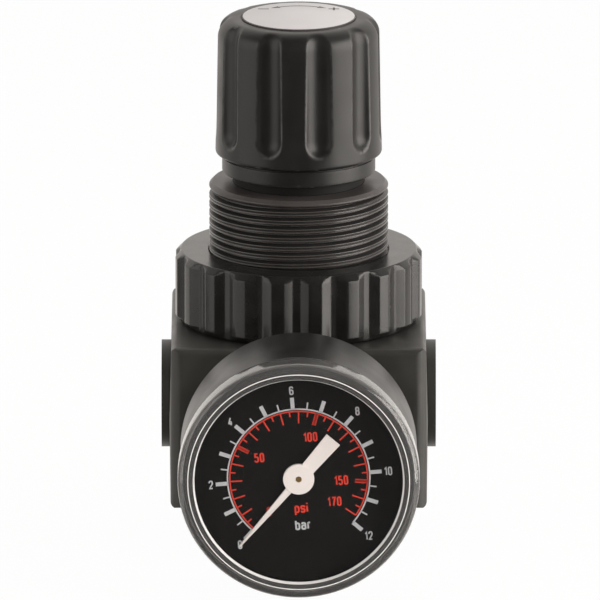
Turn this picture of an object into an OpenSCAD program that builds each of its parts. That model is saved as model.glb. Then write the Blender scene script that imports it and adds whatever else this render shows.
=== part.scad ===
// Compressed-air pressure reducing valve with a pressure gauge.
// The origin is on the bonnet's axis, at the top of the clamp ring, where a mounting panel sits.
// +Z is up, the gauge faces -Y, and air flows from the -X port to the +X port. Sizes are in mm.

/* [Body] */
// Width of the body, between the flat sides that carry the ports
body_w = 43.2; // [42:0.2:52]
// Depth of the body, from the gauge side to the plug side
body_d = 42; // [41.6:0.2:52]
// Height of the body's top above the port axis
body_up = 13; // [12:0.1:16]
// Depth of the body's bottom below the port axis
body_down = 14.6; // [14:0.1:18]
// Mould draft of each side, from the port axis to the top
body_draft = 0.3; // [0.1:0.05:0.6]
// Radius of the four upright corners
corner_r = 2.4; // [1:0.1:4]
// Radius of the top edges at the front and back
top_edge_r = 1.3; // [1:0.1:4]
// Radius of the other horizontal edges
low_edge_r = 0.9; // [0.3:0.1:1.5]
// Radius of the round port bosses
boss_r = 9; // [7.5:0.1:11]
// Height of the port bosses above the flat sides
boss_h = 1.4; // [0.6:0.1:3]

/* [Ports and passages] */
// Radius of the pipe ports, at the crests of their thread
port_r = 5.72; // [5:0.02:6.4]
// Depth of the pipe ports
port_depth = 12; // [10:0.1:13]
// Radius of the air passages from the ports to the chambers
passage_r = 2.8; // [2:0.1:3.2]
// Radius of the gauge port and of the plugged port opposite
gauge_port_r = 4.9; // [4.6:0.05:5.4]
// Depth of the gauge port and of the plugged port
gauge_port_depth = 9.5; // [7:0.1:10.5]
// Radius of the passages to the gauge port and the plugged port
gauge_passage_r = 1.1; // [0.6:0.1:1.4]
// Radius of the inlet and outlet chambers
chamber_r = 8.2; // [7.4:0.1:9]
// Radius of the valve orifice
orifice_r = 4.2; // [3.4:0.1:5]
// Thickness of the web with the orifice
seat_web = 2.8; // [2:0.1:3.2]
// Height of that web's top above the port axis
seat_rise = 2; // [1.4:0.1:2.6]
// Thickness of the web that guides the valve stem
guide_web = 3; // [2:0.1:4]
// Radius of the sensing hole to the diaphragm
sensing_r = 1; // [0.6:0.1:1.4]

/* [Collar and diaphragm] */
// Height of the collar above the body
collar_h = 5.2; // [4.6:0.1:6.2]
// Radius of the chamber below the diaphragm
sense_chamber_r = 14.4; // [13.6:0.1:15.2]
// Depth of the chamber below the diaphragm
sense_chamber_depth = 4.5; // [4:0.1:5]
// Thickness of the diaphragm
diaphragm_t = 1.2; // [0.8:0.1:1.6]
// Height of the diaphragm's rolled fold
fold_h = 1.4; // [0.8:0.1:1.8]
// Radius of the metal plate above the diaphragm
plate_r = 10.4; // [9.8:0.1:11]
// Thickness of that plate
plate_t = 1.2; // [0.8:0.1:1.6]
// Radius of the relief seat's flange, below the diaphragm
relief_r = 7; // [5:0.1:8.5]
// Thickness of the relief seat's flange
relief_t = 1.4; // [1:0.1:1.8]
// Radius of the relief seat's threaded shank
relief_shank_r = 2.5; // [2.2:0.1:3]
// Radius of the relief hole
relief_hole_r = 1; // [0.6:0.1:1.3]
// Width of the plate nut, across its flats
plate_nut_w = 8; // [7:0.1:9]
// Thickness of the plate nut
plate_nut_t = 2.4; // [1.8:0.1:3]

/* [Clamp ring] */
// Inset of the clamp ring's lobes from the body's front
ring_inset = 0.2; // [0.1:0.05:0.6]
// Wall of the clamp ring, from its thread to its lobes
ring_wall = 3.2; // [2.6:0.1:3.6]
// Height of the clamp ring
ring_h = 12; // [11:0.1:14]
// Gap between the clamp ring and the body
ring_gap = 0.2; // [0.1:0.05:0.6]
// Thickness of the clamp ring's inner lip
lip_t = 2.5; // [1.8:0.1:3]
// Number of lobes
lobe_count = 20; // [14:1:22]
// Depth of the grooves between the lobes
lobe_depth = 1; // [0.6:0.1:1.4]
// Part of each lobe's pitch that is its flat outer face
lobe_flat = 0.31; // [0.2:0.01:0.36]
// Part of each lobe's pitch that is one sloping flank
lobe_flank = 0.26; // [0.15:0.01:0.28]
// Turn of the lobes about the axis, in degrees
lobe_turn = 8; // [0:0.2:20]
// Chamfer of the lobes at the top and bottom
ring_chamfer = 1.1; // [0.5:0.1:1.6]

/* [Bonnet] */
// Radius of the panel thread, at its crests
thread_r = 15; // [14.8:0.1:15.6]
// Height of the exposed panel thread
thread_h = 11.7; // [9:0.1:15]
// Pitch of the panel thread
thread_pitch = 1.5; // [1:0.25:2]
// Depth of the panel thread
thread_depth = 0.92; // [0.6:0.02:1]
// Width of the thread's crests, as a part of its pitch
thread_crest = 0.16; // [0.12:0.01:0.3]
// Width of the thread's roots, as a part of its pitch
thread_root = 0.2; // [0.12:0.01:0.3]
// Height of the plain band above the panel thread
thread_band = 1.25; // [1:0.05:2]
// Chamfer at the top of the panel thread
thread_chamfer = 0.6; // [0.3:0.05:1]
// Depth of the relief groove below the panel thread
relief_groove = 0.3; // [0.2:0.05:0.5]
// Radius of the spring chamber in the bonnet's lower part
bonnet_bore_r = 12; // [11.6:0.1:12.6]
// Radius of the neck inside the knob
neck_r = 10.9; // [10.7:0.1:11.1]
// Wall of the neck
neck_wall = 1.7; // [1.5:0.05:1.9]
// Height of the neck above the panel thread
neck_h = 15.3; // [14.5:0.1:16.5]
// Thickness of the neck's roof, which guides the adjusting screw
roof_t = 3; // [2:0.1:4]
// Width of the keyways for the spring nut
key_w = 3; // [2:0.1:4]
// Depth of the keyways
key_depth = 0.8; // [0.5:0.05:0.9]
// Number of locking teeth
lock_teeth = 30; // [20:1:36]
// Radial height of the locking teeth
lock_tooth = 0.6; // [0.4:0.05:0.7]
// Height of the locking teeth along the axis
lock_tooth_h = 1.4; // [1:0.1:1.5]
// Height of the teeth above the edges of the bonnet and the knob, so that the knob hides them
lock_rise = 2.4; // [1.8:0.1:3]
// Width of a locking tooth's tip, as a part of the teeth's pitch
lock_flat = 0.24; // [0.2:0.01:0.28]
// Width of a locking tooth's flank, as a part of the pitch
lock_flank = 0.3; // [0.26:0.01:0.32]
// Play between the locking teeth, as a part of the pitch
lock_play = 0.04; // [0.03:0.01:0.06]

/* [Knob] */
// Gap below the raised knob, which is its travel to the lock
lock_gap = 1.8; // [1.7:0.1:2.2]
// Radius of the skirt below the grip
skirt_r = 12.84; // [12.6:0.02:13.2]
// Height of the skirt
skirt_h = 1.9; // [1.4:0.1:2.4]
// Height of the slope from the skirt to the grip
skirt_slope_h = 1.4; // [0.6:0.1:2]
// Radius of the grip at its foot
grip_r = 13.95; // [13.8:0.05:14.6]
// Draft of the grip, from its foot to its shoulder
grip_draft = 0.4; // [0.1:0.05:0.6]
// Height of the knob from the skirt's lower edge to its flat top
knob_h = 26.6; // [25.4:0.1:30]
// Radius of the rounded shoulder
shoulder_r = 3; // [1.6:0.1:3.4]
// Thickness of the knob's top
knob_top_t = 2.5; // [2:0.1:3]
// Radius of the hub that slides on the adjusting screw
hub_r = 8.6; // [8:0.1:9]
// Height of the hub's driving hexagon
hub_grip = 4; // [3:0.1:4.6]
// Radius of the pocket for the retaining clip
clip_pocket_r = 6.4; // [6.2:0.1:7]
// Number of flutes
flute_count = 10; // [8:1:12]
// Radius of the cutter that makes a flute
flute_r = 3; // [2.4:0.1:3.4]
// Depth of the flutes at the grip's foot
flute_depth = 1.3; // [0.8:0.05:1.4]
// Height of the flutes' lower ends above the skirt's lower edge
flute_start = 4.8; // [3.6:0.1:8]
// Turn of the flutes about the axis, in degrees
flute_turn = 14.4; // [0:0.2:36]
// Number of ribs between the hub and the grip
rib_count = 5; // [3:1:8]
// Thickness of those ribs
rib_t = 1.2; // [0.8:0.1:2]
// Turn of the ribs past the flutes, as a part of the ribs' spacing
rib_shift = 0.25; // [0:0.05:0.5]
// Radius of the label disc
label_r = 9.55; // [9:0.05:9.9]
// Thickness of the label disc
label_t = 0.7; // [0.5:0.05:1]
// Depth of the recess for the label disc
label_recess = 0.5; // [0.3:0.05:0.8]

/* [Adjusting screw and spring] */
// Radius of the adjusting screw's thread
screw_r = 4; // [3.6:0.05:4.1]
// Pitch of that thread
screw_pitch = 1.25; // [1:0.05:1.5]
// Turns of the knob over its whole range
screw_turns = 6; // [4:1:7]
// Radius of the adjusting screw where it passes through the bonnet
shank_r = 4.2; // [4.15:0.05:4.6]
// Radius of the adjusting screw's thrust collar
thrust_r = 6.6; // [6:0.1:7.6]
// Thickness of the thrust collar
thrust_t = 2; // [1.4:0.1:2.6]
// Thickness of the thrust washer
washer_t = 0.8; // [0.5:0.1:1.2]
// Width of the driving hexagon, across its flats
hex_w = 7.2; // [6.8:0.05:7.2]
// Height of the screw's end above the retaining clip
screw_end_h = 0.9; // [0.6:0.1:1.6]
// Thickness of the retaining clip
clip_t = 0.8; // [0.5:0.05:1]
// Depth of the groove for the retaining clip
clip_groove = 0.8; // [0.5:0.05:1]
// Radius of the retaining clip
clip_r = 5.4; // [5:0.1:6]
// Gap between the thrust collar and the spring nut at rest
nut_gap = 0.4; // [0.3:0.1:1]
// Thickness of the spring nut's flange
nut_t = 2.2; // [1.6:0.1:3]
// Radius of the spring nut's boss
nut_boss_r = 5.9; // [5.4:0.05:6]
// Height of the spring nut's boss
nut_boss_h = 5; // [4:0.1:6.5]
// Middle radius of the range spring
range_coil_r = 7.4; // [7.35:0.05:7.6]
// Radius of the range spring's wire
range_wire_r = 0.9; // [0.7:0.05:0.95]
// Number of turns of the range spring
range_turns = 6.5; // [5:0.5:7.5]

/* [Valve] */
// Radius of the valve stem
stem_r = 1.6; // [1.3:0.05:1.9]
// Radius of the valve disc
disc_r = 6.2; // [5.8:0.1:6.6]
// Thickness of the valve disc
disc_t = 2.2; // [1.6:0.1:2.8]
// Thickness of the rubber valve seal
valve_seal_t = 1; // [0.6:0.05:1.4]
// Radius of the valve's lower guide
tail_r = 2.4; // [2:0.05:2.6]
// Travel of the valve
valve_travel = 1.2; // [0.8:0.1:1.4]
// Middle radius of the valve spring
valve_coil_r = 4.8; // [4.7:0.05:4.9]
// Radius of the valve spring's wire
valve_wire_r = 0.4; // [0.3:0.05:0.45]
// Number of turns of the valve spring
valve_turns = 5.5; // [4:0.5:7]

/* [Bottom cap] */
// Radius of the bottom cap's thread
cap_thread_r = 10; // [9.8:0.1:11]
// Length of the bottom cap's thread
cap_thread_h = 6; // [5:0.1:7]
// Width of the bottom cap's hexagon, across its flats
cap_hex_w = 26; // [25:0.2:28]
// Height of the bottom cap's hexagon
cap_hex_h = 8; // [7.4:0.1:10]
// Chamfer round the bottom cap's hexagon
cap_chamfer = 1; // [0.5:0.1:1.6]
// Radius of the pocket for the valve spring
spring_pocket_r = 5.5; // [5.45:0.05:6]
// Depth of that pocket below the body's bottom
spring_pocket_depth = 1.2; // [0.8:0.1:1.6]
// Radius of the wire of the O-rings
oring_r = 0.8; // [0.6:0.05:0.85]
// Thickness of the bottom cap's floor below the valve's guide
cap_floor = 1.4; // [1:0.1:2]

/* [Rear plug] */
// Radius of the rear plug's head
plug_head_r = 7; // [6.6:0.1:8]
// Thickness of the rear plug's head
plug_head_t = 2.6; // [2:0.1:4]
// Length of the rear plug's thread
plug_thread_h = 7; // [5:0.1:8]
// Width of the rear plug's hexagon socket, across its flats
plug_socket_w = 5; // [4:0.1:6]
// Depth of that socket
plug_socket_depth = 3.6; // [2.4:0.1:4.4]
// Thickness of the sealing washers on the plug and the gauge
seal_t = 1.2; // [0.8:0.1:1.6]

/* [Gauge] */
// Turn of the gauge about its axis, in degrees
gauge_roll = 4.7; // [-8:0.1:8]
// Distance from the body to the gauge case
gauge_standoff = 12.8; // [8:0.1:16]
// Radius of the gauge case
case_r = 19.7; // [19.4:0.1:21]
// Wall of the gauge case
case_wall = 1.3; // [1.1:0.05:1.5]
// Depth of the gauge case, to its front edge
case_depth = 22.75; // [22.2:0.05:26]
// Radius of the gauge case's rear edge
case_edge_r = 2; // [1:0.1:2.6]
// Overhang of the gauge window's rim past the case
window_over = 0.4; // [0.3:0.05:0.6]
// Length of the window's skirt over the case
window_skirt = 3.4; // [2.4:0.1:4.4]
// Wall of the window's skirt
window_wall = 1.05; // [0.8:0.05:1.2]
// Bevel at the rear edge of the window's skirt
skirt_bevel = 0.35; // [0.2:0.05:0.6]
// Thickness of the window's pane
pane_t = 1.1; // [0.8:0.05:1.4]
// Width of the window's rim round its clear part
rim_w = 2.7; // [2.3:0.1:3.4]
// Height of the window's rounded rim above the pane
rim_h = 0.8; // [0.5:0.05:1.2]
// Depth of the dial behind the pane's inner face
dial_depth = 1.4; // [1.3:0.05:1.8]
// Thickness of the dial
dial_t = 0.5; // [0.3:0.05:0.8]
// Width of the ledge that carries the dial
ledge_w = 1.5; // [1:0.1:2]
// Thickness of that ledge
ledge_t = 1.2; // [0.8:0.1:1.6]
// Width of the gauge stem's square, across its flats
stem_square_w = 12; // [11:0.1:14]
// Length of the gauge stem's thread
stem_thread_h = 8.4; // [6:0.1:8.6]
// Radius of the gauge stem where it enters the case
stem_neck_r = 5.4; // [5:0.1:5.6]
// Radius of the hole through the gauge stem
stem_hole_r = 1.2; // [0.8:0.1:1.6]

/* [Pointer] */
// Length of the pointer's needle
needle_len = 15.2; // [12:0.1:16]
// Width of the needle at the hub
needle_w = 1.4; // [1:0.1:1.8]
// Width of the needle at its tip
needle_tip_w = 0.3; // [0.2:0.05:0.6]
// Length of the pointer's tail
pointer_tail_len = 8.9; // [6:0.1:10]
// Width of the tail at the hub
pointer_tail_w = 2.2; // [1.6:0.1:2.6]
// Width of the tail at its end
pointer_tail_end_w = 2.9; // [2:0.1:3.4]
// Radius of the pointer's hub
pointer_hub_r = 2.6; // [1.8:0.1:3]
// Thickness of the pointer
pointer_t = 0.35; // [0.25:0.05:0.4]
// Rest position of the pointer from the top of the dial, in degrees
pointer_zero = 135; // [110:1:140]
// Sweep of the pointer over the scale, in degrees
pointer_sweep = 270; // [220:1:280]

/* [Gauge movement] */
// Module of the movement's gear teeth
gear_module = 0.25; // [0.23:0.01:0.27]
// Number of teeth of the pinion
pinion_teeth = 10; // [9:1:11]
// Number of teeth of the sector gear, as a whole circle
sector_teeth = 60; // [54:1:64]
// Thickness of the sector gear
sector_t = 1.2; // [0.8:0.1:1.6]
// Radius of the movement's shafts
shaft_r = 0.6; // [0.5:0.02:0.7]
// Radius of the sector gear's boss
sector_boss_r = 1.5; // [1.2:0.1:1.7]
// Length of the sector gear's tail
sector_tail = 4.3; // [3.8:0.1:4.6]
// Width of the sector gear's tail
sector_arm_w = 1.5; // [1.2:0.1:1.8]
// Depth of the gauge stem's block, which carries the movement
block_h = 7.6; // [7:0.1:8.4]
// Thickness of the movement's plates
movement_plate_t = 0.9; // [0.7:0.05:1.2]
// Gap between the movement's plates
movement_gap = 6; // [5.6:0.1:7]
// Height of the movement's plates above the pointer's axis
movement_up = 4.6; // [4.2:0.1:6]
// Depth of the movement's plates below the pointer's axis
movement_down = 10.8; // [10.6:0.1:10.9]
// Gap between the Bourdon tube and the movement's plates
tube_clear = 0.9; // [0.8:0.05:1.1]
// Half width of the movement's plates
movement_half_w = 5.2; // [5:0.1:5.3]
// Radius of the movement's pillars
pillar_r = 1.1; // [0.8:0.05:1.2]
// Middle radius of the Bourdon tube
tube_r = 13.6; // [13:0.1:14.2]
// Radial thickness of the Bourdon tube
tube_w = 1.8; // [1.4:0.1:2.2]
// Height of the Bourdon tube along the gauge axis
tube_h = 4.6; // [3.6:0.1:5]
// Wall of the Bourdon tube
tube_wall = 0.3; // [0.2:0.05:0.4]
// Angle that the Bourdon tube bends through, in degrees
tube_sweep = 254; // [240:1:256]
// Thickness of the link rod
link_t = 0.6; // [0.4:0.05:0.8]
// Width of the link rod
link_w = 1.3; // [1.2:0.05:1.6]
// Half width of the lugs for the case screws
lug_half = 2; // [1.6:0.1:2.4]
// Number of turns of the hairspring
hair_turns = 3; // [2:1:4]
// Thickness of the hairspring
hair_w = 0.2; // [0.15:0.01:0.25]

/* [Clearances] */
// Radial gap of turning and sliding fits
fit_gap = 0.06; // [0.03:0.01:0.09]
// Radial gap of threads and of pieces that don't move
thread_gap = 0.1; // [0.05:0.01:0.15]
// Gap between faces that nearly touch
face_gap = 0.05; // [0.02:0.01:0.08]
// Gap round pieces that pass one another
free_gap = 0.3; // [0.2:0.05:0.4]

/* [Hidden] */
$fn = 64;
// Overshoot of a cut past the face that it opens
over = 1;
// Number of straight steps in a rounded corner
corner_steps = 6;
// Sides of a wire's section, and rings in one turn of a spring
wire_sides = 6;
turn_rings = 12;
// Shape of the gear teeth: their pressure angle, and parts of the pitch or of the module
pressure_angle = 20;
backlash = 0.2;
tooth_tip = 0.8;
tooth_root = 1.1;
flank_steps = 3;
// Angle of the sector gear's toothed edge that is left over at each end of its swing
tooth_margin = 8;

// Heights of the body, from the clamp ring's top downwards
port_z = -(ring_h + ring_gap + body_up);
body_top = port_z + body_up;
body_bottom = port_z - body_down;
body_face = body_d / 2;
ring_r = body_face - ring_inset;
collar_r = ring_r - ring_wall - thread_gap;
port_face = body_w / 2 + boss_h;
collar_top = body_top + collar_h;
sense_floor = collar_top - sense_chamber_depth;
outlet_top = sense_floor - guide_web;
seat_top = port_z + seat_rise;
seat_face = seat_top - seat_web;
inlet_passage_z = seat_face - free_gap - passage_r;
outlet_passage_z = seat_top + free_gap + passage_r;
gauge_passage_z = seat_top + free_gap + gauge_passage_r;

// Heights of the bonnet and of what is in it
flange_bottom = collar_top + diaphragm_t;
bore_top = thread_h - roof_t;
neck_bore_r = neck_r - neck_wall;
neck_top = thread_h + neck_h;
lock_foot = thread_h + lock_rise;
roof_bottom = neck_top - roof_t;
washer_bottom = roof_bottom - washer_t;
thrust_bottom = washer_bottom - thrust_t;
nut_top = thrust_bottom - nut_gap;
nut_seat = nut_top - nut_t;
nut_bottom = nut_seat - nut_boss_h;
screw_bottom = nut_bottom - screw_pitch * screw_turns;

// Heights of the knob, which is drawn raised, with its locking teeth apart
knob_bottom = thread_h + lock_gap;
lock_bottom = knob_bottom + lock_rise;
knob_top = knob_bottom + knob_h;
grip_bottom = knob_bottom + skirt_h + skirt_slope_h;
grip_top_r = grip_r - grip_draft;
knob_roof = knob_top - knob_top_t;
knob_bore_r = neck_r + lock_tooth + free_gap;
lock_tip_r = neck_r + free_gap / 2;
hub_bottom = neck_top + lock_gap + free_gap;
hub_top = hub_bottom + hub_grip;
screw_top = hub_top + clip_t + screw_end_h;
flute_centre = grip_r + flute_r - flute_depth;
flute_end_z = knob_bottom + flute_start + flute_r;
label_z = knob_top - label_recess;

// Heights of the diaphragm, the valve and the bottom cap
plate_top = flange_bottom + plate_t;
plate_rim_r = range_coil_r + range_wire_r + free_gap;
plate_nut_top = plate_top + plate_nut_t;
relief_bottom = collar_top - relief_t;
stem_top = relief_bottom - face_gap;
seal_top = seat_face - face_gap;
disc_top = seal_top - valve_seal_t;
disc_bottom = disc_top - disc_t;
pocket_floor = body_bottom - spring_pocket_depth;
gland_r = tail_r + fit_gap + 2 * oring_r + face_gap;
gland_floor = pocket_floor - 2 * oring_r - face_gap;
cap_bottom = body_bottom - cap_hex_h;
guide_floor = cap_bottom + cap_floor;
tail_bottom = guide_floor + valve_travel + free_gap;
cap_oring_r = cap_thread_r + free_gap + oring_r;

// Distances along the gauge's axis, from the valve's own axis towards the front
square_start = body_face + seal_t;
case_back = body_face + gauge_standoff;
case_front = case_back + case_depth;
case_bore_r = case_r - case_wall;
window_r = case_r + window_over;
pane_r = window_r - rim_w;
skirt_bore_r = window_r - window_wall;
skirt_start = case_front - window_skirt;
pane_inner = case_front + face_gap;
pane_outer = pane_inner + pane_t;
dial_front = pane_inner - dial_depth;
dial_back = dial_front - dial_t;
pointer_back = dial_front + 2 * free_gap;
pointer_front = pointer_back + pointer_t;
block_back = case_back + case_wall + face_gap;
movement_back = block_back + block_h;
plate_gap_back = movement_back + movement_plate_t;
plate_gap_front = plate_gap_back + movement_gap;
sector_back = plate_gap_back + movement_gap / 2 - sector_t / 2 - free_gap;
link_back = sector_back + sector_t + face_gap;
hair_front = plate_gap_front - free_gap;
hair_back = hair_front - 2 * free_gap;

// Places in the gauge's movement, across and up from the pointer's axis
pinion_pitch_r = gear_module * pinion_teeth / 2;
sector_pitch_r = gear_module * sector_teeth / 2;
gear_centres = pinion_pitch_r + sector_pitch_r;
sector_swing = pointer_sweep * pinion_teeth / sector_teeth;
tail_angle = 270 - sector_swing / 2;
tail_pin = [sector_tail * cos(tail_angle), sector_tail * sin(tail_angle) - gear_centres];
pin_r = shaft_r - thread_gap;
movement_reach = tube_r - tube_w / 2 - tube_clear;
eye_r = 2 * pin_r;
pillar_x = movement_half_w - pillar_r - free_gap;
pillar_top = movement_up - pillar_r - free_gap;
pillar_bottom = -sqrt(pow(movement_reach - pillar_r - free_gap, 2) - pillar_x * pillar_x);
screw_y = (pillar_top + pillar_bottom) / 2;
screw_head_r = 1.5 * pillar_r;
lug_x = case_bore_r / 2;
lug_front = block_back + lug_half;
tube_mid = movement_back - tube_h / 4;
tube_start = 190;
tube_end = tube_start - tube_sweep;
tube_outer_r = tube_r + tube_w / 2;
arm_top = tube_outer_r * sin(tube_start) - face_gap;
arm_bottom = arm_top - tube_h;
tip_len = 2 * link_w;
tip_half_w = tube_w / 2 + free_gap;
tip_angle = tube_end - atan((tip_len / 2 + free_gap) / (tube_r - tip_half_w));
tip_pin = tube_r * [cos(tip_angle), sin(tip_angle)];

// Colours of the materials
cast_black = [0.11, 0.11, 0.12];
plastic_black = [0.14, 0.135, 0.13];
label_grey = [0.84, 0.82, 0.81];
rubber_black = [0.05, 0.05, 0.05];
steel_grey = [0.62, 0.63, 0.64];
brass_yellow = [0.78, 0.63, 0.34];
clear_grey = [0.85, 0.87, 0.88, 0.35];
dial_black = [0.09, 0.09, 0.09];
pointer_cream = [0.93, 0.89, 0.86];

// A point from its radius and angle
function polar(r, a) = [r * cos(a), r * sin(a)];

// Points of an arc about a centre, from one angle to another
function arc(x, y, r, from, to, steps = corner_steps) =
    [for (i = [0 : steps]) [x, y] + polar(r, from + (to - from) * i / steps)];

// Outline of a box with its own radius at the lower and the upper corners
function rounded_outline(half_w, low, high, low_r, high_r) = concat(
    arc(half_w - low_r, low + low_r, low_r, -90, 0),
    arc(half_w - high_r, high - high_r, high_r, 0, 90),
    arc(high_r - half_w, high - high_r, high_r, 90, 180),
    arc(low_r - half_w, low + low_r, low_r, 180, 270)
);

// Outline of the body from the front: its sides lean in, upwards and downwards, from the port axis
function drafted_outline() =
    let (
        half = body_w / 2,
        top_x = half - body_draft - low_edge_r,
        low_x = half - body_draft / 2 - low_edge_r,
        top_y = body_top - low_edge_r,
        low_y = body_bottom + low_edge_r
    ) concat(
        [[half, port_z]], arc(top_x, top_y, low_edge_r, 0, 90),
        arc(-top_x, top_y, low_edge_r, 90, 180), [[-half, port_z]],
        arc(-low_x, low_y, low_edge_r, 180, 270), arc(low_x, low_y, low_edge_r, -90, 0)
    );

// Outline of a ring of lobes or teeth. A corner is a part of the pitch from the tooth's middle,
// and a place from its root, 0, to its tip, 1.
function toothed_ring(count, root_r, tip_r, corners, turn = 0) = [
    for (i = [0 : count - 1])
        for (c = corners)
            polar(root_r + c[1] * (tip_r - root_r), turn + (i + c[0]) * 360 / count)
];
function tooth_corners(flat, flank) = [
    [-flat / 2 - flank, 0], [-flat / 2, 1], [flat / 2, 1], [flat / 2 + flank, 0]
];

// One involute gear tooth, from its root on one side to its root on the other
function unwound(r, base_r) =
    r <= base_r ? 0 : sqrt(r * r / (base_r * base_r) - 1) * 180 / PI - acos(base_r / r);
function gear_tooth(teeth, angle) =
    let (
        pitch_r = gear_module * teeth / 2,
        base_r = pitch_r * cos(pressure_angle),
        root_r = pitch_r - tooth_root * gear_module,
        tip_r = pitch_r + tooth_tip * gear_module,
        pitch_half = 90 * (1 - backlash) / teeth + unwound(pitch_r, base_r),
        flank = [for (i = [0 : flank_steps]) root_r + (tip_r - root_r) * i / flank_steps]
    ) concat(
        [for (r = flank) polar(r, angle - pitch_half + unwound(r, base_r))],
        [for (i = [flank_steps : -1 : 0]) polar(flank[i], angle + pitch_half - unwound(flank[i], base_r))]
    );

// A straight round bar between two heights
module bar(r, low, high) {
    translate([0, 0, low]) cylinder(r = r, h = high - low);
}

// A round tube between two heights
module tube(r, bore, low, high) {
    difference() {
        bar(r, low, high);
        bar(bore, low - over, high + over);
    }
}

// A hexagonal bar between two heights, given its width across the flats
module hexagon(width, low, high) {
    translate([0, 0, low]) cylinder(r = width / sqrt(3), h = high - low, $fn = 6);
}

// A block from its lower and its upper corner
module block(low, high) {
    translate(low) cube(high - low);
}

// A flat shape given a thickness between two heights
module slab(low, high) {
    translate([0, 0, low]) linear_extrude(height = high - low) children();
}

// An O-ring about the axis
module oring(radius, z) {
    translate([0, 0, z]) rotate_extrude() translate([radius, 0]) circle(r = oring_r);
}

// A wire wound about the axis, as rings of points and the triangles between them
module coil(radius, wire, low, high, turns) {
    rings = round(turns * turn_rings);
    rise = high - low;
    points = [
        for (i = [0 : rings])
            let (
                a = 360 * turns * i / rings,
                out = [cos(a), sin(a), 0],
                along = [-radius * sin(a), radius * cos(a), rise / (2 * PI * turns)],
                up = cross(along / norm(along), out),
                middle = radius * out + [0, 0, low + rise * i / rings]
            )
                for (k = [0 : wire_sides - 1])
                    let (b = 360 * k / wire_sides) middle + wire * (cos(b) * out + sin(b) * up)
    ];
    sides = [
        for (i = [0 : rings - 1])
            for (k = [0 : wire_sides - 1])
                let (a = i * wire_sides + k, b = i * wire_sides + (k + 1) % wire_sides)
                    each [[a, b + wire_sides, b], [a, a + wire_sides, b + wire_sides]]
    ];
    last = rings * wire_sides;
    ends = [
        for (k = [1 : wire_sides - 2])
            each [[0, k, k + 1], [last, last + k + 1, last + k]]
    ];
    polyhedron(points = points, faces = concat(sides, ends));
}

// Turns the Z axis to the front at the height of the port axis, and the Y axis up
module on_gauge_axis() {
    translate([0, 0, port_z]) rotate([90, 0, 0]) rotate([0, 0, gauge_roll]) children();
}

// Turns the Z axis to the back at the height of the port axis
module on_plug_axis() {
    translate([0, 0, port_z]) rotate([-90, 0, 0]) children();
}

// The body and what closes it

module body_block() {
    intersection() {
        slab(body_bottom - over, body_top + over)
            polygon(rounded_outline(body_w / 2, -body_face, body_face, corner_r, corner_r));
        rotate([90, 0, 0])
            linear_extrude(height = body_d + 2 * over, center = true) polygon(drafted_outline());
        rotate([90, 0, 90])
            linear_extrude(height = body_w + 2 * over, center = true)
                polygon(rounded_outline(body_face, body_bottom, body_top, low_edge_r, top_edge_r));
    }
}

module port_bores() {
    inner_end = port_face - port_depth;
    for (side = [-1, 1]) {
        translate([side * (port_face + over), 0, port_z]) rotate([0, -90 * side, 0])
            cylinder(r = port_r, h = port_depth + over);
        translate([side * (inner_end + over), 0, side < 0 ? inlet_passage_z : outlet_passage_z])
            rotate([0, -90 * side, 0]) cylinder(r = passage_r, h = inner_end + over - chamber_r / 2);
        translate([0, side * (body_face + over), port_z]) rotate([90 * side, 0, 0])
            cylinder(r = gauge_port_r, h = gauge_port_depth + over);
    }
    translate([0, 0, gauge_passage_z]) rotate([90, 0, 0])
        cylinder(r = gauge_passage_r, h = 2 * (body_face - gauge_port_depth + over), center = true);
}

module valve_body() {
    color(cast_black)
        difference() {
            union() {
                body_block();
                translate([0, 0, port_z]) rotate([0, 90, 0])
                    cylinder(r = boss_r, h = 2 * port_face, center = true);
                bar(collar_r, body_top - over, collar_top);
            }
            bar(sense_chamber_r, sense_floor, collar_top + over);
            bar(chamber_r, seat_top, outlet_top);
            bar(chamber_r, body_bottom - over, seat_face);
            bar(cap_thread_r + thread_gap, body_bottom - over, body_bottom + cap_thread_h + free_gap);
            bar(orifice_r, seat_face - over, seat_top + over);
            bar(stem_r + fit_gap, outlet_top - over, sense_floor + over);
            translate([chamber_r / 2, 0, 0]) bar(sensing_r, outlet_top - over, sense_floor + over);
            port_bores();
        }
}

module bottom_cap() {
    edge_r = cap_hex_w / sqrt(3);
    color(plastic_black)
        difference() {
            union() {
                intersection() {
                    hexagon(cap_hex_w, cap_bottom, body_bottom);
                    rotate_extrude()
                        polygon([
                            [0, cap_bottom], [edge_r - cap_chamfer, cap_bottom],
                            [edge_r + over, cap_bottom + cap_chamfer + over],
                            [edge_r + over, body_bottom], [0, body_bottom]
                        ]);
                }
                bar(cap_thread_r, body_bottom - over, body_bottom + cap_thread_h);
            }
            bar(spring_pocket_r, pocket_floor, body_bottom + cap_thread_h + over);
            bar(gland_r, gland_floor, pocket_floor + over);
            bar(tail_r + fit_gap, guide_floor, gland_floor + over);
            tube(cap_oring_r + oring_r + face_gap, cap_oring_r - oring_r - face_gap,
                body_bottom - 2 * oring_r - face_gap, body_bottom + over);
        }
}

module bottom_cap_oring() {
    color(rubber_black) oring(cap_oring_r, body_bottom - oring_r - face_gap / 2);
}

module stem_oring() {
    color(rubber_black) oring(tail_r + fit_gap + oring_r, pocket_floor - oring_r - face_gap / 2);
}

module rear_plug() {
    head_back = body_face + seal_t;
    head_front = head_back + plug_head_t;
    color(steel_grey) on_plug_axis()
        difference() {
            union() {
                bar(gauge_port_r - thread_gap, body_face - plug_thread_h, head_back + over);
                bar(plug_head_r, head_back, head_front);
            }
            hexagon(plug_socket_w, head_front - plug_socket_depth, head_front + over);
        }
}

module rear_plug_seal() {
    color(rubber_black) on_plug_axis()
        tube(plug_head_r - free_gap, gauge_port_r + free_gap, body_face, body_face + seal_t);
}

// The clamp ring and the bonnet

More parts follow.
